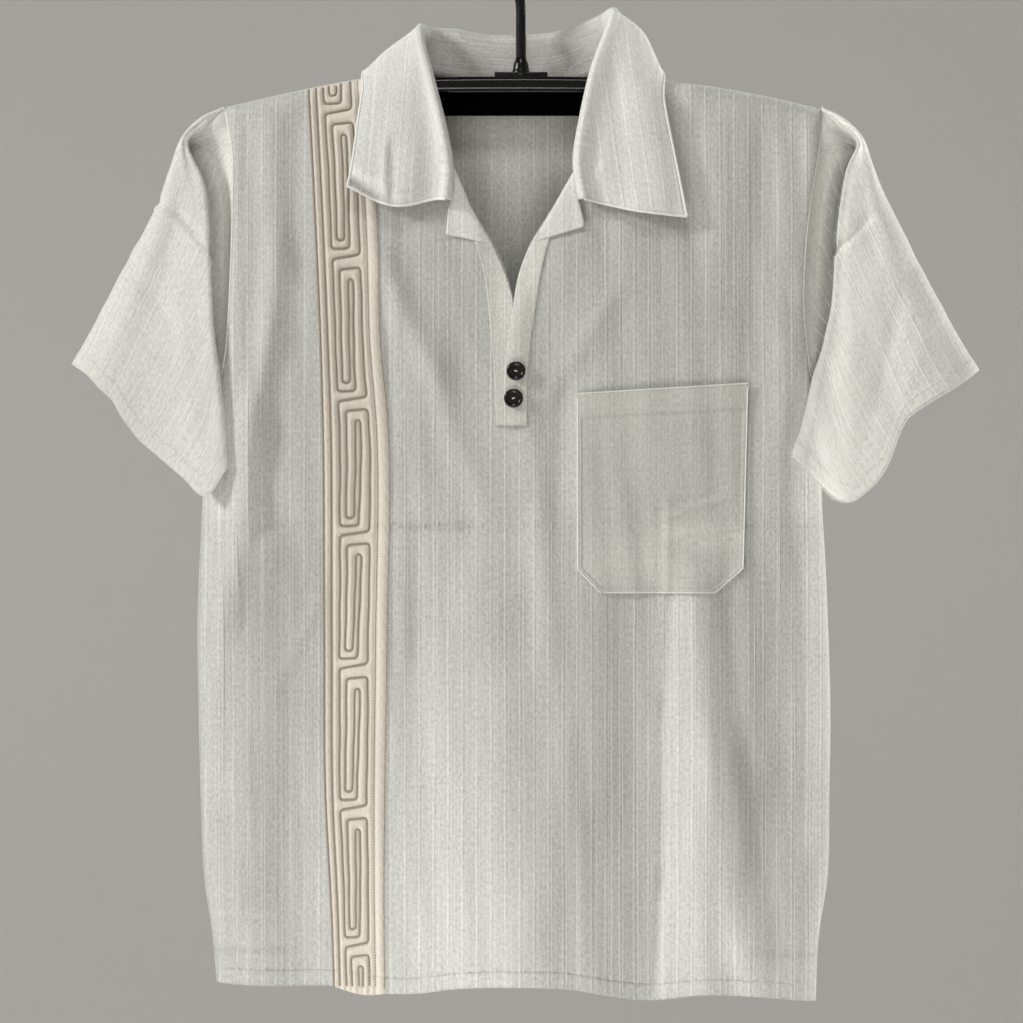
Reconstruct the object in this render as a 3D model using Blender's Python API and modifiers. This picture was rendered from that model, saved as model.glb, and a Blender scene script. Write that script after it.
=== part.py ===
"""A short-sleeve half-placket shirt of ribbed white cotton, hanging flat on a black plastic hanger.

The tables are in millimetres and become metres where a mesh is made. +Z is up, the front faces -Y, and
left and right are the viewer's. The origin is the inner top of the hook, where a rail bears.
"""

import math
from collections import namedtuple

import bmesh
import bpy
import numpy as np

MM = 0.001
WALL = 1.2
COLLAR_WALL = 1.6
SEAM_GAP = 0.3
LAID_ON = WALL + SEAM_GAP
BACK_SHARE = 0.8
SHOULDER_TURN = 14.0
# A panel's depth falls away over its turn; its columns stand at these parts of the way round it.
TURN_PARTS = (0.0, 0.13, 0.5, 1.0)

# Columns of the tables: heights and places in millimetres, depth measured out from the middle plane.
Section = namedtuple("Section", "height left right ridge front back turn")
SECTIONS = (
    Section(-141, -227.5, 232.5, 3, 11.5, 11.5, 12),
    Section(-172, -221.8, 229.1, 10, 14, 13, 12),
    Section(-214, -221.2, 222.2, 14, 17, 14, 13),
    Section(-256, -222.2, 217.8, 16, 19, 15, 14),
    Section(-293, -223.9, 216.9, 16, 20, 16, 16),
    Section(-342, -229.2, 222.0, 12, 21, 16, 22),
    Section(-388, -243.3, 231.8, 1, 21, 17, 40),
    Section(-440, -245.6, 232.2, 0, 22, 17, 52),
    Section(-490, -247.9, 235.0, 0, 22, 17, 58),
    Section(-534, -249.5, 236.8, 0, 22, 17, 60),
    Section(-595, -248.7, 238.7, 0, 22, 17, 60),
    Section(-672, -247.0, 237.9, 0, 21, 16, 60),
    Section(-734, -244.1, 236.4, 0, 20, 16, 58),
    Section(-778, -237.9, 229.8, 0, 19, 15, 55),
    Section(-829, -233.6, 227.4, 0, 18, 15, 52),
)

NECK_LEFT, NECK_RIGHT, NECK_TOP = -86.0, 82.0, -109.5
Outline = namedtuple("Outline", "x height")
SHOULDERS = (
    Outline(-229, -138.6),
    Outline(-201, -132.0),
    Outline(-155, -122.0),
    Outline(-118, -115.0),
    Outline(-86, NECK_TOP),
    Outline(0, -100.0),
    Outline(82, NECK_TOP),
    Outline(108, -116.6),
    Outline(145, -122.0),
    Outline(192, -130.4),
    Outline(234, -140.2),
)
HEM = (
    Outline(-234, -813.4),
    Outline(-195, -814.9),
    Outline(-145, -814.5),
    Outline(-95, -821.0),
    Outline(-40, -816.5),
    Outline(27, -816.5),
    Outline(102, -826.0),
    Outline(139, -822.0),
    Outline(172, -822.7),
    Outline(227, -828.0),
)

BACK_NECK_DROP, NECK_CORNER = 10.0, 9.0
SLIT_X, SLIT_FOOT = -5.7, -287.5
HEM_LEVEL = -820.0
BODY_LENGTH, FRONT_ROW, BACK_ROW = 705.0, 35.0, 44.0
NeckEdge = namedtuple("NeckEdge", "height x")
NECK_EDGE_LEFT = (
    NeckEdge(NECK_TOP, NECK_LEFT),
    NeckEdge(-130, -76.0),
    NeckEdge(-150, -67.0),
    NeckEdge(-180, -54.0),
    NeckEdge(-197, -46.0),
    NeckEdge(-217, -38.0),
    NeckEdge(-244, -21.0),
    NeckEdge(-269, -10.5),
    NeckEdge(SLIT_FOOT, SLIT_X),
)
NECK_EDGE_RIGHT = (
    NeckEdge(NECK_TOP, NECK_RIGHT),
    NeckEdge(-130, 71.0),
    NeckEdge(-150, 61.0),
    NeckEdge(-180, 45.0),
    NeckEdge(-197, 35.5),
    NeckEdge(-217, 24.0),
    NeckEdge(-248, 5.5),
    NeckEdge(-267, -1.5),
    NeckEdge(SLIT_FOOT, SLIT_X),
)

BandEdge = namedtuple("BandEdge", "height left right")
BESIDE_BAND_COLUMNS, BAND_COLUMNS = 3, 3
BAND = (
    BandEdge(-120, -164.5, -117.0),
    BandEdge(-241, -158.0, -109.3),
    BandEdge(-326, -154.3, -106.8),
    BandEdge(-375, -152.9, -102.0),
    BandEdge(-549, -151.7, -102.1),
    BandEdge(-672, -150.5, -104.0),
    BandEdge(-750, -146.3, -104.7),
    BandEdge(-830, -143.5, -104.0),
)

# A fold runs from its first place to its second; a positive rise stands out, a negative one is a trough.
Fold = namedtuple("Fold", "x1 z1 x2 z2 width rise")
FRONT_FOLDS = (
    Fold(-189, -175, -190, -260, 11, -1.5),
    Fold(-191, -345, -193, -445, 13, -3.0),
    Fold(-200, -450, -226, -600, 16, -2.0),
    Fold(-213, -385, -213, -480, 11, 1.2),
    Fold(-85, -235, -25, -380, 24, -2.0),
    Fold(178, -520, 190, -760, 30, -3.0),
    Fold(138, -540, 136, -780, 20, 1.5),
    Fold(107, -515, 104, -815, 9, -1.5),
    Fold(30, -268, 46, -238, 14, 1.2),
    Fold(-60, -560, -52, -800, 26, -1.4),
)
BACK_FOLDS = (
    Fold(-185, -180, -200, -470, 15, -2.2),
    Fold(182, -190, 192, -480, 15, -2.4),
    Fold(-70, -200, -105, -420, 26, 1.8),
    Fold(60, -210, 95, -430, 26, 1.6),
    Fold(-150, -560, -165, -790, 30, -2.6),
    Fold(20, -520, 12, -800, 28, 1.5),
    Fold(150, -540, 165, -800, 28, -2.4),
)

# One row for each course round a sleeve, from the shoulder tip down to the cuff. The cloth runs from the
# outer edge over a low corner to the fold, back into the valley behind it, and up to the seam.
Course = namedtuple(
    "Course", "outer_x outer_z corner_x corner_z fold_x fold_z fold_depth valley_x valley_depth seam_z"
)
SLEEVE_LEFT = (
    Course(-231.5, -138.4, -231.3, -139.5, -231.0, -140.5, 3, -230.5, 3, -142),
    Course(-247.2, -147.6, -247.2, -152.0, -244.0, -157.0, 8, -237.0, 5, -158),
    Course(-262.0, -165.5, -256.0, -180.0, -249.5, -185.0, 14, -238.5, 4, -192),
    Course(-281.5, -216.7, -247.0, -240.0, -240.0, -244.0, 19, -235.6, 5, -262),
    Course(-301.5, -253.5, -245.0, -304.0, -237.2, -303.0, 22, -236.0, 9, -312),
    Course(-322.6, -295.2, -242.0, -366.0, -231.5, -355.0, 24, -239.5, 15, -356),
    Course(-334.0, -316.0, -240.5, -404.0, -228.0, -389.0, 25, -240.0, 17, -390),
    Course(-345.7, -336.8, -239.0, -441.0, -225.6, -421.0, 25, -241.0, 18, -424),
)
SLEEVE_RIGHT = (
    Course(236.5, -140.5, 236.4, -141.5, 236.2, -142.5, 3, 236.0, 3, -144),
    Course(247.0, -146.8, 248.0, -152.0, 246.0, -157.0, 8, 240.5, 5, -158),
    Course(262.5, -163.0, 256.0, -179.0, 250.0, -185.0, 14, 239.5, 4, -192),
    Course(279.5, -204.3, 250.0, -236.0, 242.6, -240.0, 19, 234.5, 5, -252),
    Course(299.5, -244.5, 250.0, -292.0, 238.2, -292.0, 22, 231.5, 7, -298),
    Course(318.5, -282.0, 250.0, -350.0, 229.0, -335.0, 24, 230.5, 15, -345),
    Course(335.0, -312.0, 249.5, -398.0, 220.0, -372.0, 25, 227.0, 19, -388),
    Course(352.7, -341.4, 248.7, -446.0, 209.1, -411.0, 26, 224.0, 20, -418),
)
SLEEVE_SEAM_SHIFT_X, SLEEVE_SEAM_SHIFT_Y = 2.0, 1.5
SLEEVE_CLEAR_OF_SIDE, UNDERARM_SEAM_FROM, UNDERARM_SEAM_RUN = 3.4, -330.0, 20.0
SLEEVE_FLAT_DEPTH, CORNER_SHARE, VALLEY_SHARE = 14.25, 0.94, 0.35
# How the sleeve's outer edge rounds over: part of the way to the corner, part of the flat's depth.
EdgeRound = namedtuple("EdgeRound", "part depth")
SLEEVE_ROUND = (EdgeRound(0.035, 0.42), EdgeRound(0.16, 0.85), EdgeRound(0.5, 1.0))
SLEEVE_STEPS = (1, 1, 1, 2, 1, 1, 1, 1)
SLEEVE_ROWS_BETWEEN = 2

# One row for each place round the neck, from the front end at the left to the front end at the right: where
# it is sewn (a height on the front, a place across on the back), the roll line, the free edge, how the roll
# faces (0 forward, 1 up) and how far the middle of the fall bows up.
CollarRib = namedtuple("CollarRib", "neck roll_x roll_y roll_z edge_x edge_y edge_z upright bow")
COLLAR_FRONT_RIBS, COLLAR_RIBS_BETWEEN = 4, 2
COLLAR_STEPS = (1, 1, 1, 1, 2, 2)
ROLL_RADIUS, ROLL_OVER, FALL_FORWARD = 3.2, 0.8, 1.5
# How far the collar's foot stands in from the neck edge, up from it, and clear of the panel behind it.
FOOT_IN, FOOT_UP, FRONT_FOOT_BACK, BACK_FOOT_BACK = 2.3, 0.8, 0.2, 0.1
COLLAR = (
    CollarRib(-200, -53.0, -28.5, -211, -133.0, -23.0, -201.5, 0.0, -10),
    CollarRib(-184, -53.0, -30, -186, -128.5, -22.0, -178.0, 0.0, -2),
    CollarRib(-155, -58.0, -28, -154, -125.0, -20.5, -150.0, 0.2, 0),
    CollarRib(-130, -67.0, -22, -116, -121.5, -17.0, -128.0, 0.6, 0),
    CollarRib(-86, -79.0, -5, -78, -119.5, -3.0, -111.0, 1.0, 2),
    CollarRib(-68, -66.0, 14, -76, -96.0, 21.0, -119.0, 1.0, 0),
    CollarRib(-34, -33.0, 18, -80, -42.0, 23.5, -130.0, 1.0, 0),
    CollarRib(0, 0.0, 19, -81, 0.0, 24.5, -131.0, 1.0, 0),
    CollarRib(34, 32.0, 18, -78, 40.0, 23.5, -129.0, 1.0, 0),
    CollarRib(66, 60.0, 14, -67, 88.0, 21.0, -116.0, 1.0, 0),
    CollarRib(82, 72.0, -5, -65, 107.5, -3.0, -110.5, 1.0, 10),
    CollarRib(-131, 54.0, -22, -108, 109.5, -17.0, -134.0, 0.6, 3),
    CollarRib(-151, 43.0, -28, -152, 115.0, -20.0, -163.0, 0.2, 0),
    CollarRib(-181, 41.0, -30, -183, 121.5, -21.5, -196.0, 0.0, 0),
    CollarRib(-200, 44.5, -28.5, -211, 127.0, -22.0, -224.4, 0.0, -2),
)

Reverse = namedtuple("Reverse", "slit_x slit_z free_x free_z")
REVERS_ROWS, REVERS_COLUMNS, REVERS_LIFT, REVERS_BOW = 7, 4, 0.4, 0.5
REVERS_LEFT = (
    Reverse(-42.6, -205, -54.0, -207.0),
    Reverse(-39.0, -214, -55.5, -216.0),
    Reverse(-30.0, -230, -56.8, -228.0),
    Reverse(-21.0, -245.5, -57.8, -237.5),
)
REVERS_RIGHT = (
    Reverse(31.6, -204, 44.0, -207.0),
    Reverse(24.5, -217, 45.0, -212.0),
    Reverse(16.0, -231, 47.5, -223.0),
    Reverse(8.5, -244, 49.0, -231.6),
)

Strip = namedtuple("Strip", "height left right")
PLACKET_UNDER = (
    Strip(-247.5, -34.5, -21.0),
    Strip(-272, -27.7, -10.5),
    Strip(-287.5, -25.9, -6.2),
    Strip(-314, -23.3, -5.5),
    Strip(-338, -21.3, -6.5),
    Strip(-384.5, -19.0, -7.5),
)
PLACKET_OVER = (
    Strip(-247.5, 6.5, 20.0),
    Strip(-272, -2.6, 14.6),
    Strip(-287.5, -5.2, 12.4),
    Strip(-314, -9.8, 8.6),
    Strip(-338, -12.3, 5.9),
    Strip(-384.5, -13.2, 4.9),
)

# Each strip's stand-off from the front, at its columns from left to right.
STRIP_ROWS = 11
UNDER_STRIP_LIFTS = (0.8, 0.8, 0.8, 0.8)
OVER_STRIP_LIFTS = (2.4, 2.4, 2.2, 1.1, 0.6)

Button = namedtuple("Button", "name x height")
BUTTONS = (Button("button_upper", -3.9, -342.6), Button("button_lower", -5.8, -363.5))
BUTTON_RADIUS, BUTTON_THICKNESS = 7.3, 2.8
BUTTON_STAND_OFF, BUTTON_STEPS = 0.4, 24
# The back, the rim and the dished face, as shares of the radius and of the thickness.
Turned = namedtuple("Turned", "radius depth")
BUTTON_PROFILE = (
    Turned(0.0, 0.357),
    Turned(0.62, 0.357),
    Turned(0.78, 0.0),
    Turned(0.94, 0.107),
    Turned(1.0, 0.45),
    Turned(0.9, 1.0),
    Turned(0.0, 1.0),
)

POCKET_LEFT, POCKET_RIGHT = 43.7, 174.0
POCKET_RIGHT_LOW = 170.0
POCKET_TOP_LEFT, POCKET_TOP_RIGHT = -360.0, -352.0
POCKET_BOTTOM, POCKET_CORNER = -512.5, 17.5
POCKET_CORNER_RIGHT = 21.0
POCKET_MOUTH, POCKET_LIFT, POCKET_COLUMNS, POCKET_ROWS = 2.2, 0.6, 10, 7

BAR_HALF_DEPTH, BAR_HEIGHT, BAR_END_HEIGHT = 7.5, 30.0, 22.0
BAR_UNDER_CLOTH = 0.9
BAR_TOP, BAR_FALL, BAR_FALL_AT = -114.4, 2.0, 118.0
BAR_ENDS = (-224.0, 228.0)
BAR_PLACES = (-220, -212, -190, -160, -135, -112, -80, -45, -15, 15, 45, 80, 110, 135, 160, 192, 216, 224)
BAR_LIP, BAR_WEB, BAR_END_PINCH, BAR_END_RUN = 0.42, 0.62, 0.25, 12.0
STEM_RADIUS, BOSS_RADIUS, BOSS_HEIGHT = 3.9, 6.0, 8.5
BOSS_FOOT, BOSS_HEAD, BOSS_SUNK, PLATE_SUNK = 1.15, 0.9, 4.0, 6.0
BOSS_PLATE = (41.0, 12.0, 3.2)
HOOK_RADIUS = 24.0
HOOK_CENTRE = -(HOOK_RADIUS - STEM_RADIUS)
HOOK_START, HOOK_END, HOOK_STEPS = 242.0, -12.0, 22
# Where the stem bends over to meet the arc.
StemPoint = namedtuple("StemPoint", "x height")
STEM_BEND = (StemPoint(0.0, -84.7), StemPoint(0.0, -62.0), StemPoint(-0.4, -56.0), StemPoint(-2.6, -50.0))

COTTON_WHITE = (0.80, 0.80, 0.77, 1.0)
BAND_CREAM = (0.74, 0.68, 0.57, 1.0)
BUTTON_BROWN = (0.035, 0.018, 0.012, 1.0)
HANGER_BLACK = (0.012, 0.012, 0.012, 1.0)


def clear_scene():
    for found in list(bpy.data.objects):
        bpy.data.objects.remove(found, do_unlink=True)


def collection_of(name):
    made = bpy.data.collections.new(name)
    bpy.context.scene.collection.children.link(made)
    return made


def finish(name, colour, roughness):
    material = bpy.data.materials.new(name)
    material.use_nodes = True
    shader = material.node_tree.nodes["Principled BSDF"]
    shader.inputs["Base Color"].default_value = colour
    shader.inputs["Roughness"].default_value = roughness
    return material


def smooth(knots, values, at):
    """A cubic through the knots, whose slope at each one is that between its neighbours."""
    knots, values, at = (np.asarray(numbers, float) for numbers in (knots, values, at))
    slopes = np.gradient(values, knots)
    at = np.clip(at, knots[0], knots[-1])
    index = np.clip(np.searchsorted(knots, at, side="right") - 1, 0, len(knots) - 2)
    step = knots[index + 1] - knots[index]
    t = (at - knots[index]) / step
    start = (1 + 2 * t) * (1 - t) ** 2 * values[index] + t * (1 - t) ** 2 * step * slopes[index]
    end = t * t * (3 - 2 * t) * values[index + 1] + t * t * (t - 1) * step * slopes[index + 1]
    return start + end


def read(rows, column, key, at):
    """One column of a table, read smoothly at places along its key column."""
    ordered = sorted(rows, key=lambda row: getattr(row, key))
    return smooth([getattr(row, key) for row in ordered], [getattr(row, column) for row in ordered], at)


def rows_between(rows, count):
    """The rows of a table and `count` - 1 more between each pair, every column read smoothly."""
    at = np.linspace(0, len(rows) - 1, (len(rows) - 1) * count + 1)
    knots = range(len(rows))
    columns = [smooth(knots, [row[k] for row in rows], at) for k in range(len(rows[0]))]
    return [type(rows[0])(*(float(column[k]) for column in columns)) for k in range(len(at))]


def between(low, high, at):
    return low + (high - low) * at


def quarter_round(fraction):
    """The height of a quarter circle, from 0 at its rim to 1."""
    return np.sqrt(np.clip(1 - (1 - np.clip(fraction, 0, 1)) ** 2, 0, 1))


def side_edge(side, z):
    return read(SECTIONS, side, "height", z)


def fold_rise(folds, x, z):
    """The sum of the folds, each a soft ridge about its own line that dies away at its ends."""
    total = np.zeros_like(x)
    for fold in folds:
        run = np.array((fold.x2 - fold.x1, fold.z2 - fold.z1))
        length = np.hypot(*run)
        along = ((x - fold.x1) * run[0] + (z - fold.z1) * run[1]) / length
        off = ((x - fold.x1) * run[1] - (z - fold.z1) * run[0]) / length
        past = np.maximum(np.maximum(-along, along - length), 0)
        total += fold.rise * np.exp(-((off / fold.width) ** 2) - (past / (2 * fold.width)) ** 2)
    return total


def panel_depth(face, x, z):
    """How far the inner face of the front or back lies from the middle plane."""
    full = read(SECTIONS, face, "height", z)
    ridge = read(SECTIONS, "ridge", "height", z) * (1 if face == "front" else BACK_SHARE)
    turn = read(SECTIONS, "turn", "height", z)
    from_side = np.minimum(x - side_edge("left", z), side_edge("right", z) - x)
    inside = quarter_round(from_side / turn)
    over = quarter_round((read(SHOULDERS, "height", "x", x) - z) / SHOULDER_TURN)
    folds = fold_rise(FRONT_FOLDS if face == "front" else BACK_FOLDS, x, z)
    return SEAM_GAP / 2 + (ridge + (full - ridge) * inside) * over + folds * inside * over


def front_point(x, z, lift=0.0):
    """A point lifted off the outer face of the front."""
    x, z = np.asarray(x, float), np.asarray(z, float)
    return np.stack([x, -(panel_depth("front", x, z) + WALL + lift), z], axis=-1)


def row_drops(length, spacing):
    """How far each row of a panel lies below its top edge: close over the shoulder's turn, then even."""
    turn = [SHOULDER_TURN * (1 - math.cos(math.radians(angle))) for angle in (0, 30, 60, 90)]
    count = max(1, round((length - SHOULDER_TURN) / spacing))
    return turn + [between(SHOULDER_TURN, length, k / count) for k in range(1, count + 1)]


def column_runs(stops):
    """Fractions along a chain of stops: (edge function, how many columns lead to it)."""
    columns = [(0, 0.0)]
    for index, (_, count) in enumerate(stops[1:]):
        columns += [(index, (k + 1) / count) for k in range(count)]
    return columns


def panel_grid(face, stops, drops, top_height):
    """A grid of points: columns lie between the stops, which are edges that vary with height."""
    columns = column_runs(stops)
    grid = np.zeros((len(drops), len(columns), 3))
    for c, (run, part) in enumerate(columns):
        start, end = stops[run][0], stops[run + 1][0]
        x_top = between(start(NECK_TOP), end(NECK_TOP), part)
        z_top = top_height(x_top)
        x_hem = between(start(HEM_LEVEL), end(HEM_LEVEL), part)
        z_hem = read(HEM, "height", "x", x_hem)
        share = np.array(drops) / drops[-1]
        z = between(z_top, z_hem, share)
        x = between(start(z), end(z), part)
        grid[:, c, 0], grid[:, c, 2] = x, z
    depth = panel_depth(face, grid[..., 0], grid[..., 2])
    grid[..., 1] = -depth if face == "front" else depth
    return grid


def turn_column(side, part):
    """A line down the panel, part of the way round the turn at its side."""
    sign = 1 if side == "left" else -1

    def line(z):
        return side_edge(side, z) + sign * read(SECTIONS, "turn", "height", z) * part

    return line


def grid_faces(rows, columns, flip):
    faces = []
    for r in range(rows - 1):
        for c in range(columns - 1):
            a = r * columns + c
            face = (a, a + 1, a + columns + 1, a + columns)
            faces.append(face[::-1] if flip else face)
    return faces


def cloth_piece(name, grids, material, group, flip=False, wall=WALL):
    """Sheets of points, joined where they meet, given a wall on their outer side."""
    mesh = bpy.data.meshes.new(name)
    points, faces = [], []
    for grid in grids:
        start = len(points)
        rows, columns = grid.shape[:2]
        points += [tuple(point * MM) for point in grid.reshape(-1, 3)]
        faces += [tuple(start + k for k in face) for face in grid_faces(rows, columns, flip)]
    mesh.from_pydata(points, [], faces)
    welded = bmesh.new()
    welded.from_mesh(mesh)
    bmesh.ops.remove_doubles(welded, verts=welded.verts, dist=0.01 * MM)
    welded.to_mesh(mesh)
    welded.free()
    mesh.materials.append(material)
    mesh.shade_smooth()
    made = bpy.data.objects.new(name, mesh)
    group.objects.link(made)
    thick = made.modifiers.new("Wall", "SOLIDIFY")
    thick.thickness = wall * MM
    thick.offset = 1.0
    return made


def column_line(rows, column):
    """A line down the panel whose place across is a column of a table."""

    def line(z):
        return read(rows, column, "height", z)

    return line


def straight(x):
    def line(z):
        return x + 0 * np.asarray(z, float)

    return line


def shoulder_height(x):
    return read(SHOULDERS, "height", "x", x)


def back_top(x):
    """The back's top edge: the shoulders, and the dip of the neck between them."""
    middle, half = (NECK_LEFT + NECK_RIGHT) / 2, (NECK_RIGHT - NECK_LEFT) / 2
    dip = np.clip(1 - ((x - middle) / half) ** 2, 0, 1)
    return np.where(dip > 0, NECK_TOP - BACK_NECK_DROP * dip, shoulder_height(x))


def turn_stops(side):
    """The columns round the turn at one side, in the order that the panel meets them."""
    parts = TURN_PARTS if side == "left" else TURN_PARTS[::-1]
    return [(turn_column(side, part), 1) for part in parts]


def front_grids():
    """The two halves of the front, which meet below the slit."""
    hem = float(read(HEM, "height", "x", SLIT_X))
    slit_drop = BODY_LENGTH * (SLIT_FOOT - NECK_TOP) / (hem - NECK_TOP)
    drops = row_drops(BODY_LENGTH, FRONT_ROW)
    nearest = min(range(len(drops)), key=lambda k: abs(drops[k] - slit_drop))
    drops[nearest] = slit_drop
    left_stops = turn_stops("left") + [
        (column_line(BAND, "left"), BESIDE_BAND_COLUMNS),
        (column_line(BAND, "right"), BAND_COLUMNS),
        (column_line(NECK_EDGE_LEFT, "x"), 6),
    ]
    right_stops = [(column_line(NECK_EDGE_RIGHT, "x"), 0), (turn_column("right", 1.0), 11)]
    right_stops += turn_stops("right")[1:]
    left = panel_grid("front", left_stops, drops, shoulder_height)
    right = panel_grid("front", right_stops, drops, shoulder_height)
    return left, right


def back_grid():
    neck_stops = [
        (straight(NECK_LEFT), 4),
        (straight(NECK_LEFT + NECK_CORNER), 1),
        (straight(NECK_RIGHT - NECK_CORNER), 6),
        (straight(NECK_RIGHT), 1),
        (turn_column("right", 1.0), 6),
    ]
    stops = turn_stops("left") + neck_stops + turn_stops("right")[1:]
    return panel_grid("back", stops, row_drops(BODY_LENGTH, BACK_ROW), back_top)


def normals_of(grid):
    """Unit normals of a grid of points whose rows run down and whose columns run across."""
    down, across = np.gradient(grid, axis=0), np.gradient(grid, axis=1)
    normal = np.cross(down, across)
    return normal / np.linalg.norm(normal, axis=-1, keepdims=True)


def chain(points, steps):
    """A smooth line through a few points, read at each of them and between them: steps[k] to the next."""
    points = np.array(points, float)
    spans = np.linalg.norm(np.diff(points, axis=0), axis=1)
    knots = np.concatenate([[0], np.cumsum(spans)])
    at = [knots[k] + spans[k] * j / count for k, count in enumerate(steps) for j in range(count)]
    return np.stack([smooth(knots, points[:, axis], at + [knots[-1]]) for axis in range(3)], axis=-1)


def seam_point(side, z, facing):
    """Where a sleeve is sewn to the body, or closes on itself below the underarm."""
    sign = -1 if side == "left" else 1
    x = float(side_edge(side, z))
    depth = float(read(SECTIONS, "ridge", "height", z)) * (1 if facing < 0 else BACK_SHARE)
    depth = max(depth - SLEEVE_SEAM_SHIFT_Y, 0.0) + SEAM_GAP / 2
    below = np.clip((UNDERARM_SEAM_FROM - z) / UNDERARM_SEAM_RUN, 0, 1)
    clear = between(SLEEVE_SEAM_SHIFT_X, SLEEVE_CLEAR_OF_SIDE, below)
    return (x + sign * clear, facing * depth, z)


def sleeve_half(side, course, facing):
    """One course from the outer edge to the seam, on the front (facing -1) or the back (1)."""
    share = 1.0 if facing < 0 else BACK_SHARE
    fold = facing * course.fold_depth * share
    flat = facing * min(course.fold_depth, SLEEVE_FLAT_DEPTH) * share
    outer = np.array((course.outer_x, 0.0, course.outer_z))
    corner = np.array((course.corner_x, fold * CORNER_SHARE, course.corner_z))
    reach = (corner - outer) * (1, 0, 1)
    rounded = [outer + reach * step.part + (0, flat * step.depth, 0) for step in SLEEVE_ROUND]
    valley_z = between(course.fold_z, course.seam_z, VALLEY_SHARE)
    valley = (course.valley_x, facing * course.valley_depth * share, valley_z)
    seam = seam_point(side, course.seam_z, facing)
    beside = np.add(valley, seam) / 2
    sign = -1 if side == "left" else 1
    clear = float(side_edge(side, beside[2])) + sign * SLEEVE_CLEAR_OF_SIDE
    beside[0] = sign * max(sign * beside[0], sign * clear)
    return [outer] + rounded + [corner, (course.fold_x, fold, course.fold_z), valley, beside, seam]


def sleeve_grid(side, courses):
    """Rows run round the sleeve, from the front seam over the outer edge to the back seam."""
    rings = []
    for course in rows_between(courses, SLEEVE_ROWS_BETWEEN):
        front = chain(sleeve_half(side, course, -1), SLEEVE_STEPS)
        back = chain(sleeve_half(side, course, 1), SLEEVE_STEPS)
        rings.append(np.concatenate([front[::-1], back[1:]]))
    return np.array(rings)


def collar_foot(rib, place):
    """Where the collar is sewn on, just inside the neck edge of the front or above that of the back."""
    last = len(COLLAR) - 1
    if COLLAR_FRONT_RIBS <= place <= last - COLLAR_FRONT_RIBS:
        x = np.array([rib.neck])
        height = back_top(x)
        depth = panel_depth("back", x, height)
        return np.array((x[0], depth[0] + BACK_FOOT_BACK, height[0] + SEAM_GAP + FOOT_UP))
    left = place < COLLAR_FRONT_RIBS
    inward = 1 if left else -1
    z = np.array([rib.neck])
    x = read(NECK_EDGE_LEFT if left else NECK_EDGE_RIGHT, "x", "height", z)
    depth = panel_depth("front", x, z)
    return np.array((x[0] + inward * FOOT_IN, -depth[0] + FRONT_FOOT_BACK, z[0] + FOOT_UP))


def collar_rib(rib, place):
    """Up from the neck seam, over the roll, and down the fall."""
    foot = collar_foot(rib, place)
    roll = np.array((rib.roll_x, rib.roll_y, rib.roll_z), float)
    edge = np.array((rib.edge_x, rib.edge_y, rib.edge_z), float)
    lean = rib.upright * math.pi / 2
    up = np.array((0, -math.cos(lean), math.sin(lean)))
    out = edge - roll
    out -= up * out.dot(up)
    out /= np.linalg.norm(out)
    inner = roll - out * ROLL_RADIUS - up * ROLL_RADIUS
    outer = roll + out * ROLL_RADIUS - up * ROLL_RADIUS * ROLL_OVER
    stand = (foot + inner) / 2
    fall = (outer + edge) / 2 + np.array((0, -FALL_FORWARD * math.cos(lean), rib.bow))
    return [foot, stand, inner, roll, outer, fall, edge]


def collar_ribs():
    """The table's ribs and those between, where the foot of the side ribs turns from front to back."""
    last = len(COLLAR) - 1
    sides = (COLLAR_FRONT_RIBS, last - COLLAR_FRONT_RIBS)
    feet = [row.neck for row in COLLAR]
    ribs = rows_between(COLLAR, COLLAR_RIBS_BETWEEN)
    for k, rib in enumerate(ribs):
        place = k / COLLAR_RIBS_BETWEEN
        if place < sides[0]:
            neck = smooth(range(0, sides[0] + 1), feet[: sides[0]] + [NECK_TOP], place)
        elif place > sides[1]:
            neck = smooth(range(sides[1], last + 1), [NECK_TOP] + feet[sides[1] + 1:], place)
        else:
            neck = smooth(range(sides[0], sides[1] + 1), feet[sides[0]: sides[1] + 1], place)
        ribs[k] = rib._replace(neck=float(neck))
    return ribs


def collar_grid():
    ribs = enumerate(collar_ribs())
    return np.array([chain(collar_rib(rib, k / COLLAR_RIBS_BETWEEN), COLLAR_STEPS) for k, rib in ribs])


def make_shirt(cotton, cream, group):
    left, right = front_grids()
    cloth_piece("front", [left, right], cotton, group, flip=True)
    cloth_piece("back", [back_grid()], cotton, group)

    first = len(TURN_PARTS) - 1 + BESIDE_BAND_COLUMNS
    band_columns = slice(first, first + BAND_COLUMNS + 1)
    under_band = left[:, band_columns]
    outward = normals_of(left)[:, band_columns]
    cloth_piece("band", [under_band + outward * LAID_ON], cream, group, flip=True)

    cloth_piece("sleeve_left", [sleeve_grid("left", SLEEVE_LEFT)], cotton, group)
    cloth_piece("sleeve_right", [sleeve_grid("right", SLEEVE_RIGHT)], cotton, group, flip=True)
    cloth_piece("collar", [collar_grid()], cotton, group, flip=True, wall=COLLAR_WALL)


def make_revers(name, rows, cotton, group, flip):
    across = np.linspace(0, 1, REVERS_COLUMNS)
    lifts = REVERS_LIFT + REVERS_BOW * np.sin(math.pi * across)
    grid = np.zeros((REVERS_ROWS, REVERS_COLUMNS, 3))
    for r, at in enumerate(np.linspace(0, len(rows) - 1, REVERS_ROWS)):
        slit_x, slit_z, free_x, free_z = (
            smooth(range(len(rows)), [getattr(row, column) for row in rows], at) for column in Reverse._fields
        )
        grid[r] = front_point(between(slit_x, free_x, across), between(slit_z, free_z, across), lifts)
    cloth_piece(name, [grid], cotton, group, flip=flip)


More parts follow.
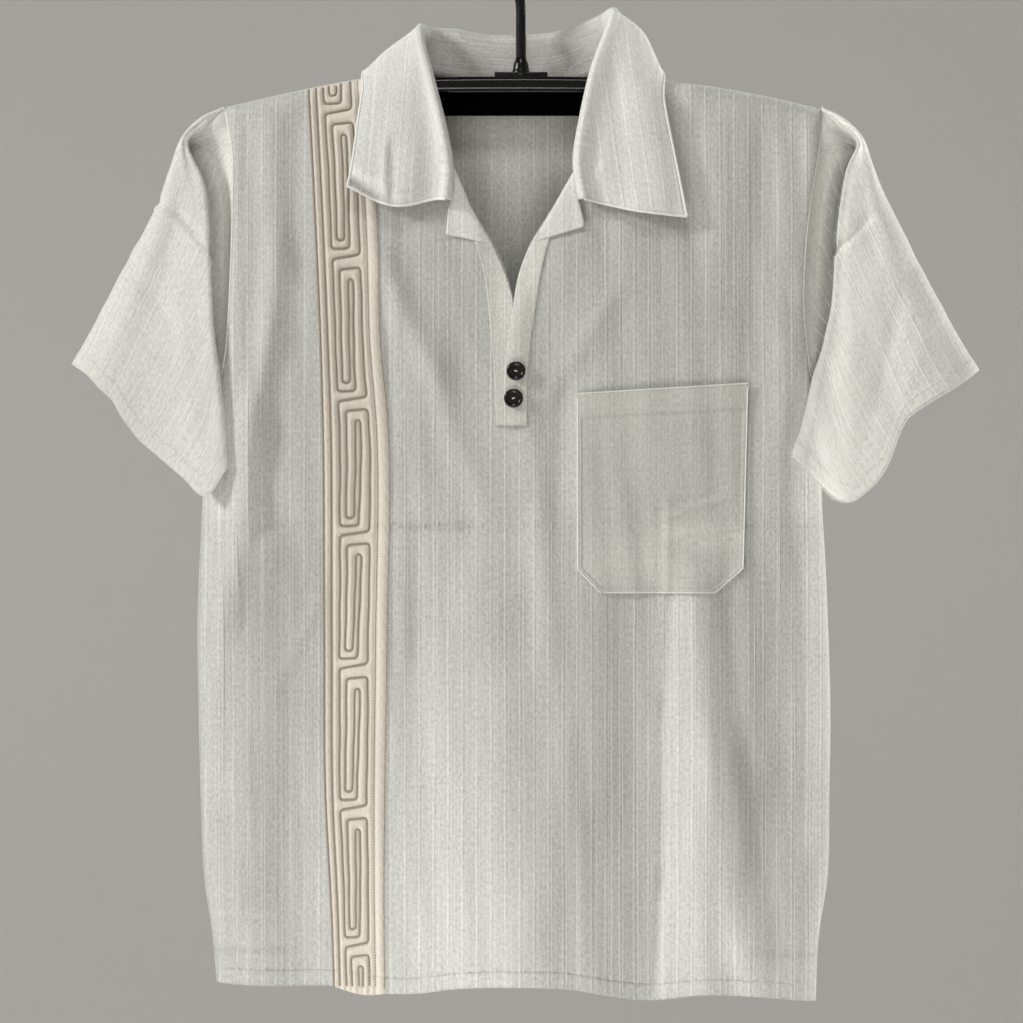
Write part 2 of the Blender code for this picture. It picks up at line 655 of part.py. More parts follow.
def make_placket(name, rows, lifts, cotton, group):
    """A strip down the slit, one column for each lift."""
    heights = np.linspace(rows[0].height, rows[-1].height, STRIP_ROWS)
    left, right = (read(rows, side, "height", heights) for side in ("left", "right"))
    columns = zip(np.linspace(0, 1, len(lifts)), lifts)
    grid = np.stack([front_point(between(left, right, at), heights, lift) for at, lift in columns], axis=1)
    cloth_piece(name, [grid], cotton, group, flip=True)


def make_pocket(cotton, group):
    across, down = np.linspace(0, 1, POCKET_COLUMNS), np.linspace(0, 1, POCKET_ROWS)
    cut = (POCKET_BOTTOM + POCKET_CORNER - POCKET_TOP_LEFT) / (POCKET_BOTTOM - POCKET_TOP_LEFT)
    down = np.append(down[:-1] * cut / down[-2], 1.0)
    grid = np.zeros((len(down), len(across), 3))
    for r, v in enumerate(down):
        chamfer = max(0.0, (v - cut) / (1 - cut))
        right = between(POCKET_RIGHT, POCKET_RIGHT_LOW, v) - POCKET_CORNER_RIGHT * chamfer
        x = between(POCKET_LEFT + POCKET_CORNER * chamfer, right, across)
        z = between(between(POCKET_TOP_LEFT, POCKET_TOP_RIGHT, across), POCKET_BOTTOM, v)
        bulge = POCKET_MOUTH * (1 - v) * np.sin(math.pi * across)
        grid[r] = front_point(x, z, POCKET_LIFT + bulge)
    cloth_piece("pocket", [grid], cotton, group, flip=True)


def make_buttons(brown, group):
    """Turned discs with a dished face, laid on the placket."""
    stand = OVER_STRIP_LIFTS[0] + WALL + BUTTON_STAND_OFF + BUTTON_THICKNESS
    radius, thickness = BUTTON_RADIUS * MM, BUTTON_THICKNESS * MM
    points = [(step.radius * radius, 0, -step.depth * thickness) for step in BUTTON_PROFILE]
    for button in BUTTONS:
        seat = front_point(button.x, button.height, stand)
        mesh = bpy.data.meshes.new(button.name)
        edges = [(k, k + 1) for k in range(len(points) - 1)]
        mesh.from_pydata(points, edges, [])
        mesh.materials.append(brown)
        made = bpy.data.objects.new(button.name, mesh)
        group.objects.link(made)
        made.location = tuple(seat * MM)
        made.rotation_euler = (math.pi / 2, 0, 0)
        turned = made.modifiers.new("Turned", "SCREW")
        turned.steps = turned.render_steps = BUTTON_STEPS
        turned.use_merge_vertices = True
        turned.merge_threshold = 0.00001


def bar_top(x):
    """The bar is level where it shows and follows the shoulders beyond."""
    under_cloth = shoulder_height(x) - BAR_UNDER_CLOTH
    return np.minimum(under_cloth, BAR_TOP - BAR_FALL * (np.abs(x) / BAR_FALL_AT) ** 2)


def bar_section(x):
    """A rounded top, a lip below it at the front and back, and a thinner web to the bottom."""
    reach = abs(x) / max(abs(end) for end in BAR_ENDS)
    height = between(BAR_HEIGHT, BAR_END_HEIGHT, reach**2)
    top = float(bar_top(np.array(x)))
    ends = min(x - BAR_ENDS[0], BAR_ENDS[1] - x)
    pinch = float(quarter_round(np.array(BAR_END_PINCH + ends / BAR_END_RUN)))
    half, web = BAR_HALF_DEPTH * pinch, BAR_HALF_DEPTH * pinch * BAR_WEB
    lip = height * BAR_LIP
    side = [
        (half * 0.45, -0.6), (half * 0.85, -3.2), (half, -7.0), (half, -lip), (web, -lip - 2.0),
        (web, -height + 2.0), (web * 0.6, -height),
    ]
    outline = [(0.0, 0.0)] + side + [(0.0, -height)] + [(-y, z) for y, z in side[::-1]]
    return [(x * MM, y * MM, (top + z) * MM) for y, z in outline]


def make_hanger(black, group):
    rings = [bar_section(float(x)) for x in (BAR_ENDS[0],) + BAR_PLACES + (BAR_ENDS[1],)]
    mesh = bpy.data.meshes.new("hanger_bar")
    shape = bmesh.new()
    levels = [[shape.verts.new(point) for point in ring] for ring in rings]
    around = len(levels[0])
    for here, there in zip(levels, levels[1:]):
        for k in range(around):
            shape.faces.new((here[k], here[(k + 1) % around], there[(k + 1) % around], there[k]))
    shape.faces.new(levels[0][::-1])
    shape.faces.new(levels[-1])
    bmesh.ops.recalc_face_normals(shape, faces=shape.faces)
    shape.to_mesh(mesh)
    shape.free()
    mesh.materials.append(black)
    bar = bpy.data.objects.new("hanger_bar", mesh)
    group.objects.link(bar)
    return bar


def add_boss(bar, cutters):
    """The low plate and the flared boss that the hook rises from, moulded in one with the bar."""
    width, depth, height = BOSS_PLATE
    bpy.ops.mesh.primitive_cube_add(size=1.0)
    plate = bpy.context.object
    plate.name = "boss_plate"
    plate.scale = (width * MM, depth * MM, (height + PLATE_SUNK) * MM)
    plate.location = (0, 0, (BAR_TOP + (height - PLATE_SUNK) / 2) * MM)
    bpy.ops.object.transform_apply(location=False, rotation=False, scale=True)
    bpy.ops.mesh.primitive_cone_add(
        vertices=24,
        radius1=BOSS_RADIUS * BOSS_FOOT * MM,
        radius2=BOSS_RADIUS * BOSS_HEAD * MM,
        depth=(BOSS_HEIGHT + BOSS_SUNK) * MM,
    )
    boss = bpy.context.object
    boss.name = "boss_cone"
    boss.location = (0, 0, (BAR_TOP + height + (BOSS_HEIGHT - BOSS_SUNK) / 2) * MM)
    for piece in (plate, boss):
        for owner in list(piece.users_collection):
            owner.objects.unlink(piece)
        cutters.objects.link(piece)
        piece.hide_render = True
        piece.display_type = "WIRE"
        join = bar.modifiers.new(piece.name, "BOOLEAN")
        join.operation = "UNION"
        join.object = piece


def hook_route():
    """From the boss up the stem, round the bottom of the arc and over the top to the free end."""
    foot = StemPoint(0.0, BAR_TOP + BOSS_PLATE[2] + BOSS_HEIGHT + SEAM_GAP)
    arc = []
    for k in range(HOOK_STEPS + 1):
        angle = math.radians(between(HOOK_START, HOOK_END, k / HOOK_STEPS))
        x, height = HOOK_RADIUS * math.cos(angle), HOOK_CENTRE + HOOK_RADIUS * math.sin(angle)
        arc.append(StemPoint(x, height))
    return (foot,) + STEM_BEND + tuple(arc)


def make_hook(black, group):
    points = hook_route()
    curve = bpy.data.curves.new("hanger_hook", "CURVE")
    curve.dimensions = "3D"
    curve.bevel_depth = STEM_RADIUS * MM
    curve.bevel_resolution = 3
    curve.use_fill_caps = True
    spline = curve.splines.new("POLY")
    spline.points.add(len(points) - 1)
    for place, (x, z) in zip(spline.points, points):
        place.co = (x * MM, 0, z * MM, 1)
    curve.materials.append(black)
    made = bpy.data.objects.new("hanger_hook", curve)
    group.objects.link(made)


def main():
    clear_scene()
    shirt = collection_of("placket_shirt_on_hanger")
    cutters = collection_of("cutters")
    cotton = finish("ribbed_cotton", COTTON_WHITE, 0.85)
    cream = finish("band_cotton", BAND_CREAM, 0.85)
    brown = finish("button_brown", BUTTON_BROWN, 0.25)
    black = finish("hanger_plastic", HANGER_BLACK, 0.3)

    make_shirt(cotton, cream, shirt)
    make_revers("revers_left", REVERS_LEFT, cotton, shirt, flip=False)
    make_revers("revers_right", REVERS_RIGHT, cotton, shirt, flip=True)
    make_placket("placket_under", PLACKET_UNDER, UNDER_STRIP_LIFTS, cotton, shirt)
    make_placket("placket_over", PLACKET_OVER, OVER_STRIP_LIFTS, cotton, shirt)
    make_pocket(cotton, shirt)
    make_buttons(brown, shirt)
    bar = make_hanger(black, shirt)
    add_boss(bar, cutters)
    make_hook(black, shirt)


main()
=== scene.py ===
"""Looks of a short-sleeve half-placket shirt of ribbed white cotton, hanging on a black plastic hanger.

The tables are in millimetres and become metres where a mesh is made. +Z is up, the front faces -Y, and left
and right are the viewer's.
"""

import math
from collections import namedtuple

import bmesh
import bpy
import numpy as np
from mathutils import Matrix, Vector


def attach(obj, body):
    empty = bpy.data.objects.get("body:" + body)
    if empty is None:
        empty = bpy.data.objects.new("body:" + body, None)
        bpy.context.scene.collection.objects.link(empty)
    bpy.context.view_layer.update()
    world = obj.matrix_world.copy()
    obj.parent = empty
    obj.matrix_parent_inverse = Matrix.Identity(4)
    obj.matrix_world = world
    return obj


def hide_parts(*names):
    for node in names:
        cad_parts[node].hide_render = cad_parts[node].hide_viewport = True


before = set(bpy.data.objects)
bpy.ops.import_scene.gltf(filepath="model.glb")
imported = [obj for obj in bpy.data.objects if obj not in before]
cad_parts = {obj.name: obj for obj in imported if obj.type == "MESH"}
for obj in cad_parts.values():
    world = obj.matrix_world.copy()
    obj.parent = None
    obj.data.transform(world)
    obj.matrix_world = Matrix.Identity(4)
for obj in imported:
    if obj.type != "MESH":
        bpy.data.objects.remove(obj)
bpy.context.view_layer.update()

MM = 0.001
WALL, THIN = 1.2, 0.55
COLLAR_WALL, COLLAR_THIN = 1.6, 1.0
SEAM_GAP, BACK_SHARE, SHOULDER_TURN = 0.3, 0.8, 14.0


def table(fields, *rows):
    """Rows of numbers whose columns have names."""
    kind = namedtuple("Row", fields)
    return [kind(*row) for row in rows]


# The sizes and main folds of the part
SECTIONS = table(
    "height left right ridge front back turn",
    (-141, -227.5, 232.5, 3, 11.5, 11.5, 12), (-172, -221.8, 229.1, 10, 14, 13, 12),
    (-214, -221.2, 222.2, 14, 17, 14, 13), (-256, -222.2, 217.8, 16, 19, 15, 14),
    (-293, -223.9, 216.9, 16, 20, 16, 16), (-342, -229.2, 222, 12, 21, 16, 22),
    (-388, -243.3, 231.8, 1, 21, 17, 40), (-440, -245.6, 232.2, 0, 22, 17, 52),
    (-490, -247.9, 235, 0, 22, 17, 58), (-534, -249.5, 236.8, 0, 22, 17, 60),
    (-595, -248.7, 238.7, 0, 22, 17, 60), (-672, -247, 237.9, 0, 21, 16, 60),
    (-734, -244.1, 236.4, 0, 20, 16, 58), (-778, -237.9, 229.8, 0, 19, 15, 55),
    (-829, -233.6, 227.4, 0, 18, 15, 52),
)
NECK_LEFT, NECK_RIGHT, NECK_TOP = -86.0, 82.0, -109.5
SHOULDERS = table(
    "x height",
    (-229, -138.6), (-201, -132), (-155, -122), (-118, -115), (-86, NECK_TOP), (0, -100), (82, NECK_TOP),
    (108, -116.6), (145, -122), (192, -130.4), (234, -140.2),
)
HEM = table(
    "x height",
    (-234, -813.4), (-195, -814.9), (-145, -814.5), (-95, -821), (-40, -816.5), (27, -816.5), (102, -826),
    (139, -822), (172, -822.7), (227, -828),
)
BACK_NECK_DROP, NECK_CORNER = 10.0, 9.0
SLIT_X, SLIT_FOOT = -5.7, -287.5
HEM_LEVEL, BODY_LENGTH = -820.0, 705.0
NECK_EDGE_LEFT = table(
    "height x",
    (NECK_TOP, NECK_LEFT), (-130, -76), (-150, -67), (-180, -54), (-197, -46), (-217, -38), (-244, -21),
    (-269, -10.5), (SLIT_FOOT, SLIT_X),
)
NECK_EDGE_RIGHT = table(
    "height x",
    (NECK_TOP, NECK_RIGHT), (-130, 71), (-150, 61), (-180, 45), (-197, 35.5), (-217, 24), (-248, 5.5),
    (-267, -1.5), (SLIT_FOOT, SLIT_X),
)
BAND = table(
    "height left right",
    (-120, -164.5, -117), (-241, -158, -109.3), (-326, -154.3, -106.8), (-375, -152.9, -102),
    (-549, -151.7, -102.1), (-672, -150.5, -104), (-750, -146.3, -104.7), (-830, -143.5, -104),
)

# Folds run from x1, z1 to x2, z2, with a width and a rise: a negative rise is a trough
FRONT_FOLDS = (
    (-189, -175, -190, -260, 11, -1.5), (-182, -340, -186, -450, 13, -2.1),
    (-203, -450, -226, -600, 14, -2.2), (-213, -385, -213, -480, 11, 1.2), (-85, -235, -25, -380, 24, -1.3),
    (178, -520, 190, -760, 30, -3), (138, -540, 136, -780, 20, 1.5), (107, -515, 104, -815, 9, -1.5),
    (30, -268, 46, -238, 14, 1.2), (-60, -560, -52, -800, 26, -1.4),
)
BACK_FOLDS = (
    (-185, -180, -200, -470, 15, -2.2), (182, -190, 192, -480, 15, -2.4), (-70, -200, -105, -420, 26, 1.8),
    (60, -210, 95, -430, 26, 1.6), (-150, -560, -165, -790, 30, -2.6), (20, -520, 12, -800, 28, 1.5),
    (150, -540, 165, -800, 28, -2.4),
)

SLEEVE_LEFT = table(
    "outer_x outer_z corner_x corner_z fold_x fold_z fold_depth valley_x valley_depth seam_z",
    (-228.6, -138.3, -228.5, -138.6, -228.3, -138.9, 1.5, -228.1, 1.3, -139.4),
    (-247.2, -147.6, -245.8, -150, -243.5, -151.6, 8, -236, 6.2, -157),
    (-261, -163.5, -259.6, -165.4, -257.4, -166.8, 12.5, -240.5, -1, -186),
    (-271, -188, -251, -198, -244, -199.5, 16, -232.5, -1.5, -222),
    (-281.5, -216.7, -247, -240, -240, -244, 19, -230.8, -1.5, -262),
    (-301.5, -253.5, -245, -304, -237.2, -303, 22, -231.5, -0.5, -312),
    (-322.6, -295.2, -242, -366, -231.5, -355, 24, -239.5, 3, -356),
    (-334, -316, -240.5, -404, -228, -389, 25, -240, 3.4, -390),
    (-345.7, -336.8, -239, -441, -225.6, -421, 25, -241, 3.6, -424),
)
SLEEVE_RIGHT = table(
    "outer_x outer_z corner_x corner_z fold_x fold_z fold_depth valley_x valley_depth seam_z",
    (233.6, -139.9, 233.5, -140.2, 233.3, -140.5, 1.5, 233.1, 1.3, -141),
    (247.5, -146.8, 247, -149.8, 245, -151.6, 8, 240, 6.2, -157),
    (262, -162, 261.3, -164.4, 259.4, -166.2, 12.5, 244.5, -1, -184),
    (270.5, -183, 256.5, -187, 250.5, -189.5, 16, 237, -1.5, -208),
    (279.5, -204.3, 250, -236, 243, -240, 19, 230.5, -1.5, -252),
    (299.5, -244.5, 250, -292, 239.2, -292, 22, 228, -0.5, -298),
    (318.5, -282, 250, -350, 229, -335, 24, 227.5, 3, -345),
    (335, -312, 249.5, -398, 220, -372, 25, 227, 3.8, -388),
    (352.7, -341.4, 248.7, -446, 209.1, -411, 26, 224, 4, -418),
)
SLEEVE_FLAT_DEPTH, CORNER_SHARE, VALLEY_SHARE = 14.25, 0.94, 0.35
# The part of the way from the outer edge to the corner, and the part of the depth reached there
SLEEVE_ROUND = ((0.035, 0.42), (0.16, 0.85), (0.5, 1))
UNDERARM_SEAM_FROM, UNDERARM_SEAM_RUN = -330.0, 20.0
SEAM_LAP, SLEEVE_CLEAR_OF_SIDE = 0.2, 3.4

COLLAR_FRONT_RIBS = 4
ROLL_RADIUS, ROLL_OVER, FALL_FORWARD = 3.2, 0.8, 1.5
FOOT_OUT, FOOT_UP, FRONT_FOOT_LIFT, BACK_FOOT_BACK = 1.0, 0.8, 0.25, 0.1
COLLAR = table(
    "neck roll_x roll_y roll_z edge_x edge_y edge_z upright bow",
    (-200, -57.9, -27.5, -211, -133, -27, -201.5, 0, -10),
    (-184, -56.2, -29, -186, -128.5, -24.5, -178, 0, -2),
    (-155, -61.5, -27, -154, -125, -20.5, -150, 0.2, 0), (-130, -70.6, -21, -116, -121.5, -17, -128, 0.6, 0),
    (-86, -79, -5, -78, -119.5, -3, -111, 1, 2), (-68, -66, 14, -76, -96, 21, -119, 1, 0),
    (-34, -33, 18, -80, -42, 23.5, -130, 1, 0), (0, 0, 19, -81, 0, 24.5, -131, 1, 0),
    (34, 32, 18, -78, 40, 23.5, -129, 1, 0), (66, 60, 14, -67, 88, 21, -116, 1, 0),
    (82, 72, -5, -65, 107.5, -3, -110.5, 1, 10), (-131, 57.6, -21, -108, 109.5, -17, -134, 0.6, 3),
    (-151, 48.2, -27, -152, 115, -20, -163, 0.2, 0), (-181, 44.2, -29, -183, 121.5, -24.5, -196, 0, 0),
    (-200, 48.4, -27.5, -211, 127, -26.5, -224.4, 0, -2),
)
REVERS_LEFT = table(
    "slit_x slit_z free_x free_z",
    (-58.4, -170, -66, -172), (-54, -180, -61.5, -182), (-48.5, -192, -57, -194), (-42.6, -205, -54.5, -207),
    (-39, -214, -55.5, -216), (-30, -230, -56.8, -228), (-21, -245.5, -57.8, -237.5),
)
REVERS_RIGHT = table(
    "slit_x slit_z free_x free_z",
    (50.3, -170, 58, -172), (45, -180, 52.5, -182), (38.7, -192, 47.5, -194), (31.6, -204, 45, -207),
    (24.5, -217, 45, -212), (16, -231, 47.5, -223), (8.5, -244, 49, -231.6),
)
PLACKET_UNDER = table(
    "height left right",
    (-236, -38.5, -26.6), (-247.5, -34.5, -21), (-272, -27.7, -10.5), (-287.5, -25.9, -6.2),
    (-314, -23.3, -5.5), (-338, -21.3, -6.5), (-384.5, -19, -7.5),
)
PLACKET_OVER = table(
    "height left right",
    (-236, 12.7, 22.8), (-247.5, 6.5, 20), (-272, -2.6, 14.6), (-287.5, -5.2, 12.4), (-314, -9.8, 8.6),
    (-338, -12.3, 5.9), (-384.5, -13.2, 4.9),
)
UNDER_STRIP_LIFTS = (0.55, 0.75, 0.75, 0.6, 0.3)
OVER_STRIP_LIFTS = (2.0, 2.2, 2.0, 1.2, 0.55)
OPEN_STRIP_LIFTS = (0.3, 0.7, 0.75, 0.75, 0.55)
OVERLAP_FROM, OVERLAP_WHOLE = -266.0, -292.0

BUTTONS = table("name x height", ("button_upper", -3.9, -342.6), ("button_lower", -5.8, -363.5))
BUTTON_STAND_OFF = 0.4

POCKET_LEFT, POCKET_RIGHT, POCKET_RIGHT_LOW = 43.7, 174.0, 170.0
POCKET_TOP_LEFT, POCKET_TOP_RIGHT = -360.0, -352.0
POCKET_BOTTOM, POCKET_CORNER, POCKET_CORNER_RIGHT = -512.5, 17.5, 21.0
POCKET_DEPTH, POCKET_MOUTH, POCKET_LIFT = 152.5, 2.2, 0.6

BAR_HALF_DEPTH, BAR_HEIGHT, BAR_END_HEIGHT = 7.5, 30.0, 22.0
BAR_UNDER_CLOTH, BAR_FALL, BAR_FALL_AT = 0.9, 2.0, 118.0
BAR_TOP, BAR_ENDS = -114.4, (-224.0, 228.0)
BAR_LIP, BAR_WEB, BAR_END_PINCH, BAR_END_RUN = 0.42, 0.62, 0.25, 12.0
BOSS_PLATE, PLATE_SUNK, BOSS_HEIGHT = (41.0, 12.0, 3.2), 6.0, 8.5
STEM_RADIUS, HOOK_RADIUS = 3.9, 24.0
HOOK_CENTRE = -(HOOK_RADIUS - STEM_RADIUS)
HOOK_START, HOOK_END, HOOK_STEPS = 242.0, -12.0, 44
STEM_BEND = ((0.0, -84.7), (0.0, -62.0), (-0.4, -56.0), (-2.6, -50.0))

# Finer creases of the cloth, on top of the folds that the part has
FRONT_CREASES = (
    (-248, -462, -160, -462, 3, -0.9), (-100, -461, -40, -461, 3.2, -1.5), (-40, -461, 236, -461, 3.2, -0.8),
    (-100, -470, -40, -469, 6, 0.8), (-190, -164, -188, -256, 11, 3.6), (-188, -256, -193, -310, 11, 3.4),
    (-193, -310, -206, -385, 10, 3.6), (-207, -380, -210.5, -450, 10, 4.4),
    (-210.5, -450, -224, -520, 9, 3.6), (-226, -520, -232, -640, 7, 2.4), (-173, -160, -171, -260, 7, -0.9),
    (-193, -385, -195, -432, 7, -1.6), (-206, -460, -214, -540, 8, -2), (-214, -540, -221, -690, 8, -2.2),
    (-208.7, -626, -154.8, -518.5, 6, 1), (-235, -760.3, -192, -760, 2.6, 0.8),
    (-235, -784.9, -193, -784.5, 2.6, 0.8), (-95, -285, -90, -560, 5, 1.3),
    (-104, -262, -68, -342, 9.5, 2.8), (-66, -346, -40, -420, 11, 1.9), (-82, -262, -50, -330, 8, -0.4),
    (-64, -240, -34, -330, 7, 0.8), (-98, -330, -88, -440, 9, -1.8), (-50.8, -275.5, -16, -274, 2.6, 0.9),
    (24, -358, 72, -283, 7, 1.3), (36, -370, 80, -306, 7, -0.3), (34, -362, 31, -436, 11, -2.2),
    (16, -455, 16, -560, 9, 1.2), (-24, -560, 0, -805, 36, 4.2), (90, -518, 92, -640, 20, -2.6),
    (92, -640, 94, -812, 24, -4.6), (114.5, -520, 111, -600, 4.2, -1.4), (111, -600, 109, -734, 4, -1.8),
    (109, -734, 103.5, -815, 4, -1.6), (136, -520, 146, -640, 13, 3.6), (146, -640, 172, -780, 16, 3.8),
    (160, -520, 170, -640, 11, -1.8), (170, -640, 196, -790, 12, -1.8), (206, -330, 202, -500, 8, 1.4),
    (216, -500, 219, -780, 9, 1.8), (68, -235, 84, -340, 9, -0.9), (94, -150, 108, -330, 8, 0.7),
    (136, -150, 134, -250, 7, -1.2), (152, -160, 160, -330, 8, 0.8), (186, -170, 180, -300, 9, -1.4),
    (204, -180, 199, -330, 7, 1), (-212, -160, -206, -330, 8, -1.2), (-75, -470, -80, -640, 9, -1),
    (36, -600, 38, -800, 9, -0.6),
)
BACK_CREASES = (
    (-240, -463, -40, -464, 3, 1), (-40, -464, 230, -461, 3, 0.8), (-104, -300, -101, -815, 4, 1.5),
    (98, -300, 101, -815, 4, 1.3), (-160, -200, -150, -330, 9, -1.8), (-176, -190, -170, -340, 8, 1.4),
    (150, -200, 140, -330, 9, -1.8), (168, -200, 160, -330, 8, 1.4), (-74, -200, -30, -330, 8, 1.6),
    (66, -190, 34, -330, 8, -1.6), (-40, -480, -46, -720, 12, 2.2), (45, -500, 52, -760, 12, -2),
    (76, -560, 82, -800, 10, 1.8), (-190, -520, -186, -760, 10, 2.4), (-210, -400, -206, -560, 8, -2),
    (190, -520, 186, -760, 9, 2), (160, -560, 152, -790, 12, -2.2), (-130, -600, -122, -800, 12, -1.6),
)
SLEEVE_CREASES = {
    "left": (
        (-281, -216, -262, -229.5, 1.8, 1.5), (-262, -229.5, -239, -258.5, 1.8, 1.5),
        (-283, -210, -262, -223.5, 4, -1.2), (-262, -223.5, -239, -252.5, 4, -1.2),
        (-300, -262, -272, -300, 6, -0.9), (-262, -300, -250, -392, 8, 0.8),
        (-318, -300, -268, -352, 7, 0.6), (-290, -240, -262, -262, 9, -0.8),
    ),
    "right": (
        (265, -233.6, 252, -246.7, 1.8, 0.7), (252, -246.7, 240, -258.2, 1.8, 0.7),
        (265, -227, 252, -240.5, 4, -1.2), (252, -240.5, 240, -252, 4, -1.2),
        (300, -262, 262, -400, 7, -0.9), (318, -300, 290, -372, 7, 0.7), (276, -262, 250, -340, 8, 0.8),
        (258, -190, 262, -228, 7, -0.7),
    ),
}
COLLAR_CREASES = (
    (-104.5, -176, -104, -214, 3.4, 1.5), (-99, -178, -98.5, -212, 3.6, -0.9),
    (-130, -194, -110, -211, 4.5, -3.4), (-130, -203, -112, -217, 3, 1.6), (-84, -120, -80, -200, 9, 1.2),
    (72, -120, 80, -205, 10, -1.6), (98, -130, 108, -205, 8, 1.3), (45, -205, 60, -190, 5, 1.2),
)
COLLAR_BACK_CREASES = (
    (-70, -78, -46, -104, 5, -2.4), (-48, -82, -28, -112, 5, 1.9), (22, -92, 48, -112, 4.5, -2.2),
    (38, -84, 62, -96, 4.5, 1.7), (-20, -86, 10, -112, 6, -1.4),
)
POCKET_CREASES = (
    (124.7, -450.4, 145.5, -444.6, 2.2, 1.3), (118, -446, 144, -438.5, 3.6, -0.9),
    (128, -466, 166, -463, 2.6, 1.4), (128, -476, 160, -472, 6, -1.2), (112.8, -450, 112.4, -512, 2.6, 0.9),
    (106.5, -450, 106.5, -510, 4, -0.5), (60, -400, 64, -500, 10, -0.4),
    (46, -380.6, 172, -374.2, 1.5, -0.4), (78, -440, 84, -500, 8, 1), (150, -400, 148, -440, 9, -0.8),
)

# Painted light and shade: soft lighter and darker places painted into the cloth's colour. They stand in for
# how the lamps fall on its folds and creases, for the hanger bar's shadow on the inside of the back, and for
# light over the collar wing's shadow. The rows are as for the folds, and their last number is a share of the
# cloth's own colour.
FRONT_PAINTED_SHADING = (
    (-78, -650, -60, -815, 34, 0.15), (-186, -500, -189, -815, 22, -0.2), (192, -520, 196, -760, 26, -0.07),
    (176, -510, 182, -720, 13, -0.17), (163, -792, 172, -815, 12, 0.22), (222, -165, 216, -270, 9, 0.2),
    (213, -285, 213, -350, 9, 0.16), (217, -380, 218, -440, 9, 0.14), (-231, -390, -232, -440, 9, 0.22),
    (-209, -500, -209, -760, 9, -0.13), (-228, -690, -226, -790, 10, -0.12), (92, -610, 90, -815, 10, -0.07),
    (-98, -461.5, -45, -461.5, 2.6, -0.14), (-230, -461.5, 225, -461.5, 2.6, -0.03),
    (-235, -788, -185, -787, 2.6, -0.11), (-235, -760, -192, -760, 2.4, 0.07),
    (186, -790, 226, -793, 2.6, -0.11), (127, -530, 126, -815, 14, 0.12), (62, -540, 60, -815, 34, -0.17),
    (-75, -235, -55, -300, 26, -0.06), (110, -160, 130, -330, 60, -0.09), (-180, -350, -184, -470, 13, -0.1),
    (-174, -170, -177, -300, 8, 0.03), (124, -118, 141, -225, 9, 0.27), (-208, -370, -209, -440, 7, 0.06),
    (221, -450, 222, -700, 8, 0.18),
)
BACK_PAINTED_SHADING = (
    (-60, -640, -50, -815, 40, 0.1), (40, -540, 40, -815, 34, -0.06), (0, -160, 10, -330, 60, -0.05),
    (150, -560, 160, -815, 24, 0.08), (-8, -130, -6, -190, 60, 0.14), (-10, -195, -10, -225, 26, 0.32),
    (-80, -97, 62, -97, 7, -0.3),
)
COLLAR_PAINTED_SHADING = (
    (-129, -198, -110, -210, 3, -0.36), (-126, -190, -104, -203, 2.8, 0.12),
    (-101.5, -172, -101.5, -208, 1.1, -0.16),
)
PLACKET_PAINTED_SHADING = ((36, -195, 4, -270, 18, 0.16),)
POCKET_PAINTED_SHADING = (
    (56, -488, 160, -488, 22, 0.11), (122, -467, 164, -468, 8, 0.15), (122, -486, 150, -487, 6, -0.06),
    (48, -368, 170, -362, 7, 0.04),
)

# Slow ripples that every hanging cloth has: their lengths across and along the ribs, phase and rise
RIPPLES = (
    (47, 410, 0.4, 0.3), (31, 290, 2.1, 0.2), (73, -520, 4, 0.35), (22, 180, 1.2, 0.1),
    (58, -240, 5.3, 0.22), (38, 700, 3.3, 0.18),
)


# Reading the tables

def smooth(knots, values, at):
    """A cubic through the knots, whose slope at each one is that between its neighbours."""
    knots, values, at = (np.asarray(numbers, float) for numbers in (knots, values, at))
    slopes = np.gradient(values, knots)
    at = np.clip(at, knots[0], knots[-1])
    index = np.clip(np.searchsorted(knots, at, side="right") - 1, 0, len(knots) - 2)
    step = knots[index + 1] - knots[index]
    t = (at - knots[index]) / step
    start = (1 + 2 * t) * (1 - t) ** 2 * values[index] + t * (1 - t) ** 2 * step * slopes[index]
    end = t * t * (3 - 2 * t) * values[index + 1] + t * t * (t - 1) * step * slopes[index + 1]
    return start + end


def read(rows, column, key, at):
    """One column of a table, read smoothly at places along its key column."""
    ordered = sorted(rows, key=lambda row: getattr(row, key))
    return smooth([getattr(row, key) for row in ordered], [getattr(row, column) for row in ordered], at)


def rows_between(rows, count):
    """The rows of a table and `count` - 1 more between each pair, every column read smoothly."""
    at = np.linspace(0, len(rows) - 1, (len(rows) - 1) * count + 1)
    columns = [smooth(range(len(rows)), column, at) for column in zip(*rows)]
    return [type(rows[0])(*map(float, row)) for row in zip(*columns)]


def between(low, high, at):
    return low + (high - low) * at


def soft_step(low, high, at):
    """0 below low, 1 above high, smooth between them."""
    t = np.clip((np.asarray(at, float) - low) / (high - low), 0, 1)
    return t * t * (3 - 2 * t)


def past_edge(place, at, soft=0.6):
    """0 before a sewn edge and 1 past it, over the short slope that the cloth's thickness makes."""
    return soft_step(place - soft, place + soft, at)


def quarter_round(fraction):
    """The height of a quarter circle, from 0 at its rim to 1."""
    return np.sqrt(np.clip(1 - (1 - np.clip(fraction, 0, 1)) ** 2, 0, 1))


def side_edge(side, z):
    return read(SECTIONS, side, "height", z)


def shoulder_height(x):
    return read(SHOULDERS, "height", "x", x)


def hem_height(x):
    return read(HEM, "height", "x", x)


FOLD_END, LEAST_END_WIDTH = 2, 5.0


def fold_rise(folds, x, z):
    """The sum of the folds, each a soft ridge about its own line that dies away at its ends."""
    total = np.zeros_like(x)
    for x1, z1, x2, z2, width, rise in folds:
        run = np.array((x2 - x1, z2 - z1))
        length = np.hypot(*run)
        along = ((x - x1) * run[0] + (z - z1) * run[1]) / length
        off = ((x - x1) * run[1] - (z - z1) * run[0]) / length
        past = np.maximum(np.maximum(-along, along - length), 0)
        reach = FOLD_END * max(width, LEAST_END_WIDTH)
        total += rise * np.exp(-((off / width) ** 2) - (past / reach) ** 2)
    return total


